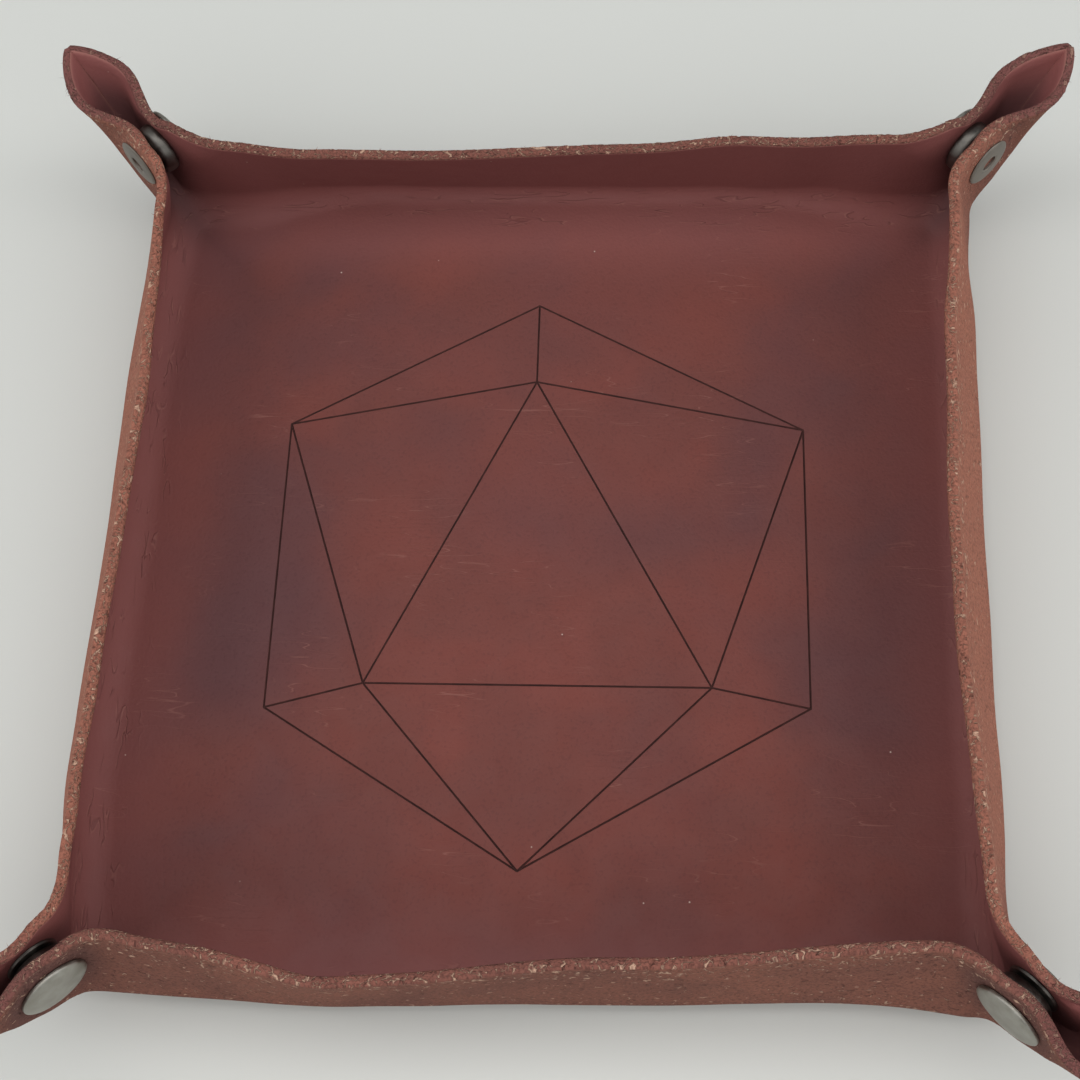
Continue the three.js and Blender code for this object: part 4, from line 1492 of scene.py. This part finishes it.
@dataclass
class PressSnap:
    """The four turned pieces of a press snap, each a profile of radius and distance along the snap's axis."""

    corner: Corner
    bright: bpy.types.Material
    dull: bpy.types.Material
    aged: bpy.types.Material
    reach: float = SNAP_REACH
    height: float = SNAP_HEIGHT
    leaf_in: float = 2.125
    leaf_out: float = 4.17
    cap_radius: float = 6.5
    dome_foot: float = 0.7
    dome_rise: float = 1.05
    dome_rows: int = 16
    post_thickness: float = 0.66
    facets: int = 72
    merge_distance: float = 2e-6
    sharp_angle: float = math.radians(38)

    def turned(self, name: str, outline: list, material: bpy.types.Material) -> bpy.types.Object:
        """Carry a profile round the snap's axis.

        A point at turn a is centre + along * axis + radius * (cos a * beside + sin a * up).

        Args:
            name: Piece name.
            outline: Closed list of (radius, along) in millimetres.
            material: The piece's finish.

        Returns:
            The turned piece.
        """
        profile = np.array(outline)
        sign_x, sign_y = self.corner.value
        axis = np.array([-sign_x * DIAGONAL, sign_y * DIAGONAL, 0.0])
        beside = np.array([sign_x * DIAGONAL, sign_y * DIAGONAL, 0.0])
        up = np.array([0.0, 0.0, 1.0])
        turn = np.arange(self.facets) * 2 * math.pi / self.facets
        radial = np.cos(turn)[:, None] * beside + np.sin(turn)[:, None] * up
        centre = self.reach * beside + self.height * up
        points = centre + profile[:, 1, None, None] * axis + profile[:, 0, None, None] * radial[None]
        faces = grid_quads(len(profile), self.facets, wrap=True)
        made = make_object(name, points, faces.tolist(), [material])
        made.data.validate()
        self.close_and_point_out(made)
        made.data.set_sharp_from_angle(angle=self.sharp_angle)
        return made

    def close_and_point_out(self, made: bpy.types.Object) -> None:
        """Merge the doubled points on the axis and turn every face outwards.

        Args:
            made: The turned piece.
        """
        work = bmesh.new()
        work.from_mesh(made.data)
        bmesh.ops.remove_doubles(work, verts=work.verts, dist=self.merge_distance)
        bmesh.ops.recalc_face_normals(work, faces=work.faces)
        work.to_mesh(made.data)
        work.free()

    def cap(self) -> bpy.types.Object:
        """A low dome on a rivet that is spread inside the socket.

        The dome's height is foot + rise * (1 - share^3)^0.6, where share is the radius over the cap's.

        Returns:
            The cap.
        """
        seat = self.leaf_out
        share = np.cos(np.linspace(0.0, math.pi / 2, self.dome_rows))
        share[-1] = 0.0
        rise = self.dome_foot + self.dome_rise * (1 - share**3) ** 0.6
        dome = np.stack([self.cap_radius * share, seat + rise], axis=1)
        outline = [(0.0, 0.88), (2.3, 0.88), (2.6, 1.0), (2.5, 1.22), (1.9, 1.3), (1.9, seat + 0.1),
                   (6.1, seat + 0.1), (6.4, seat + 0.18), (6.5, seat + 0.4), *dome.tolist()]
        return self.turned(f"{self.corner.label}_snap_cap", outline, self.bright)

    def socket(self) -> bpy.types.Object:
        """A cup with a rolled outer shoulder and a lip round its mouth.

        Returns:
            The socket.
        """
        back = self.leaf_in
        outline = [(2.2, 1.53), (4.4, 1.53), (4.4, -0.42), (4.05, -0.47), (3.5, -0.47), (3.4, -0.72),
                   (3.55, -0.97), (4.0, -1.03), (4.45, -0.9), (4.85, -0.63), (5.2, -0.17), (5.36, 0.5),
                   (5.45, 1.2), (5.45, 1.82), (5.32, 2.05), (5.1, back), (2.2, back), (2.2, 1.53)]
        return self.turned(f"{self.corner.label}_snap_socket", outline, self.dull)

    def stud(self) -> bpy.types.Object:
        """A flange with a hollow ball that has a neck below it.

        Returns:
            The stud.
        """
        back = -self.leaf_in
        outline = [(2.35, back), (4.85, back), (5.0, back + 0.22), (4.95, -1.5), (4.65, -1.28), (3.1, -1.22),
                   (2.75, -1.05), (2.65, -0.85), (2.75, -0.6), (2.9, -0.3), (2.95, 0.03), (2.9, 0.35),
                   (2.7, 0.52), (2.5, 0.57), (2.38, 0.45), (2.35, 0.2), (2.35, back)]
        return self.turned(f"{self.corner.label}_snap_stud", outline, self.dull)

    def post(self) -> bpy.types.Object:
        """A flat eyelet flange with a rolled mouth and a tube inside the stud.

        Returns:
            The post.
        """
        seat = -self.leaf_out
        face = seat - self.post_thickness
        outline = [(1.65, face + 0.5), (1.68, face + 0.22), (1.85, face + 0.06), (2.1, face),
                   (2.5, face + 0.04), (3.0, face + 0.1), (4.3, face + 0.13), (4.75, face + 0.18),
                   (5.05, face + 0.3), (5.2, face + 0.48), (5.15, seat), (2.05, seat), (2.05, 0.3),
                   (1.65, 0.3), (1.65, face + 0.5)]
        return self.turned(f"{self.corner.label}_snap_post", outline, self.aged)

    def build(self) -> list[bpy.types.Object]:
        """Build the four pieces and let each ride with its half of the ear.

        Returns:
            The pieces.
        """
        made = []
        for kind, leaf in (("cap", "cap"), ("socket", "cap"), ("stud", "stud"), ("post", "stud")):
            piece = getattr(self, kind)()
            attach(piece, f"{self.corner.label}_{leaf}_leaf")
            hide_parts(f"{self.corner.label}_{kind}")
            made.append(piece)
        return made


@dataclass(frozen=True)
class Studio:
    """Pale floor, soft light from above and the photograph's camera."""

    floor_colour: tuple = (0.60, 0.61, 0.58, 1.0)
    floor_roughness: float = 0.9
    floor_specular: float = 0.1
    floor_half: float = 3000.0
    floor_drop: float = 0.05
    lamps: tuple = (
        ("overhead", (0.0, 0.05, 0.8), (4.0, 0.4), 11.0),
        ("front_panel", (0.0, -0.55, 0.65), (4.0, 0.7), 9.0),
        ("right_panel", (1.2, 0.0, 0.4), (0.6, 0.6), 2.0),
        ("left_panel", (-1.2, 0.0, 0.4), (0.6, 0.6), 1.2),
    )
    room_colour: tuple = (0.95, 0.97, 1.0, 1.0)
    room_strength: float = 0.3
    eye: tuple = (22.7, -134.5, 337.5)
    right: tuple = (0.9977, 0.0378, -0.0571)
    upward: tuple = (-0.0128, 0.9219, 0.3873)
    ahead: tuple = (-0.0673, 0.3856, -0.9202)
    lens: float = 60.5
    sensor: float = 36.0
    clip_start: float = 0.01

    def floor(self) -> bpy.types.Object:
        """A wide plain floor just below the tray's underside.

        Returns:
            The floor.
        """
        corners = self.floor_half * np.array([[-1, -1], [1, -1], [1, 1], [-1, 1]])
        points = np.concatenate([corners, np.full((4, 1), -self.floor_drop)], axis=1)
        material = bpy.data.materials.new("pale_floor")
        material.use_nodes = True
        sockets = material.node_tree.nodes["Principled BSDF"].inputs
        sockets["Base Color"].default_value = self.floor_colour
        sockets["Roughness"].default_value = self.floor_roughness
        sockets["Specular IOR Level"].default_value = self.floor_specular
        made = make_object("studio_floor", points, [[0, 1, 2, 3]], [material])
        return made

    def lamp(self, name: str, at: tuple, size: tuple, power: float) -> None:
        """A soft lamp that faces the tray.

        Args:
            name: The lamp's name.
            at: Its place in metres.
            size: Its width and depth in metres.
            power: Its power in watts.
        """
        light = bpy.data.lights.new(name, "AREA")
        light.shape = "RECTANGLE"
        light.size, light.size_y = size
        light.energy = power
        made = bpy.data.objects.new(name, light)
        made.location = at
        made.rotation_euler = (-Vector(at)).to_track_quat("-Z", "Y").to_euler()
        bpy.context.scene.collection.objects.link(made)

    def build(self) -> None:
        """Set the floor, the lamps, the world and the camera."""
        scene = bpy.context.scene
        scene.view_settings.view_transform = "Standard"
        self.floor()
        for lamp in self.lamps:
            self.lamp(*lamp)
        world = bpy.data.worlds.new("soft_room")
        world.use_nodes = True
        back = world.node_tree.nodes["Background"]
        back.inputs["Color"].default_value = self.room_colour
        back.inputs["Strength"].default_value = self.room_strength
        scene.world = world
        camera = bpy.data.cameras.new("photo_camera")
        camera.sensor_width = self.sensor
        camera.lens = self.lens
        camera.clip_start = self.clip_start
        made = bpy.data.objects.new("photo_camera", camera)
        given = np.stack([self.right, self.upward, -np.array(self.ahead)], axis=1)
        axes, _ = np.linalg.qr(given)
        axes *= np.sign((axes * given).sum(axis=0))
        made.matrix_world = Matrix.Translation(Vector(self.eye) * MM) @ Matrix(axes.tolist()).to_4x4()
        scene.collection.objects.link(made)
        scene.camera = made


def main() -> None:
    """Build the studio, the sheet and the snaps."""
    logging.basicConfig(level=logging.INFO)
    Studio().build()
    effects = Effects()
    flesh = FleshFinish("raw_leather", specular=0.15)
    edge = FleshFinish("cut_edge", specular=0.15, brown=(0.262, 0.102, 0.075, 1.0),
                       shade=(0.175, 0.07, 0.056, 1.0), fibre_scale=100.0, amount=0.2, depth=0.5,
                       ear_share=0.8, pressed=0.3, side_light_share=0.42, nap_share=0.55)
    grain = GrainFinish("dyed_grain", specular=0.2)
    burnt = BurntFinish("burnt_line", specular=0.2)
    leather = [finish.material(effects) for finish in (grain, flesh, edge, burnt)]
    bright, dull, aged, spring = (finish.material(effects) for finish in (
        MetalFinish("worn_nickel", gloss=0.44),
        MetalFinish("dark_nickel", bright=(0.20, 0.19, 0.17, 1.0), tarnish=(0.07, 0.065, 0.06, 1.0)),
        MetalFinish("aged_nickel", bright=(0.27, 0.245, 0.215, 1.0), tarnish=(0.17, 0.15, 0.13, 1.0),
                    gloss=0.46),
        MetalFinish("spring_steel", bright=(0.5, 0.5, 0.5, 1.0), tarnish=(0.3, 0.3, 0.31, 1.0)),
    ))
    pieces = LeatherSheet(SheetForm(), leather).build()
    for corner in Corner:
        pieces += PressSnap(corner, bright, dull, aged).build()
        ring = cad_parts[f"{corner.label}_socket_spring"]
        ring.data.materials.clear()
        ring.data.materials.append(spring)
        pieces.append(ring)
    for piece in pieces:
        LOG.info("%s: %d faces", piece.name, len(piece.data.polygons))


if __name__ == "__main__":
    main()
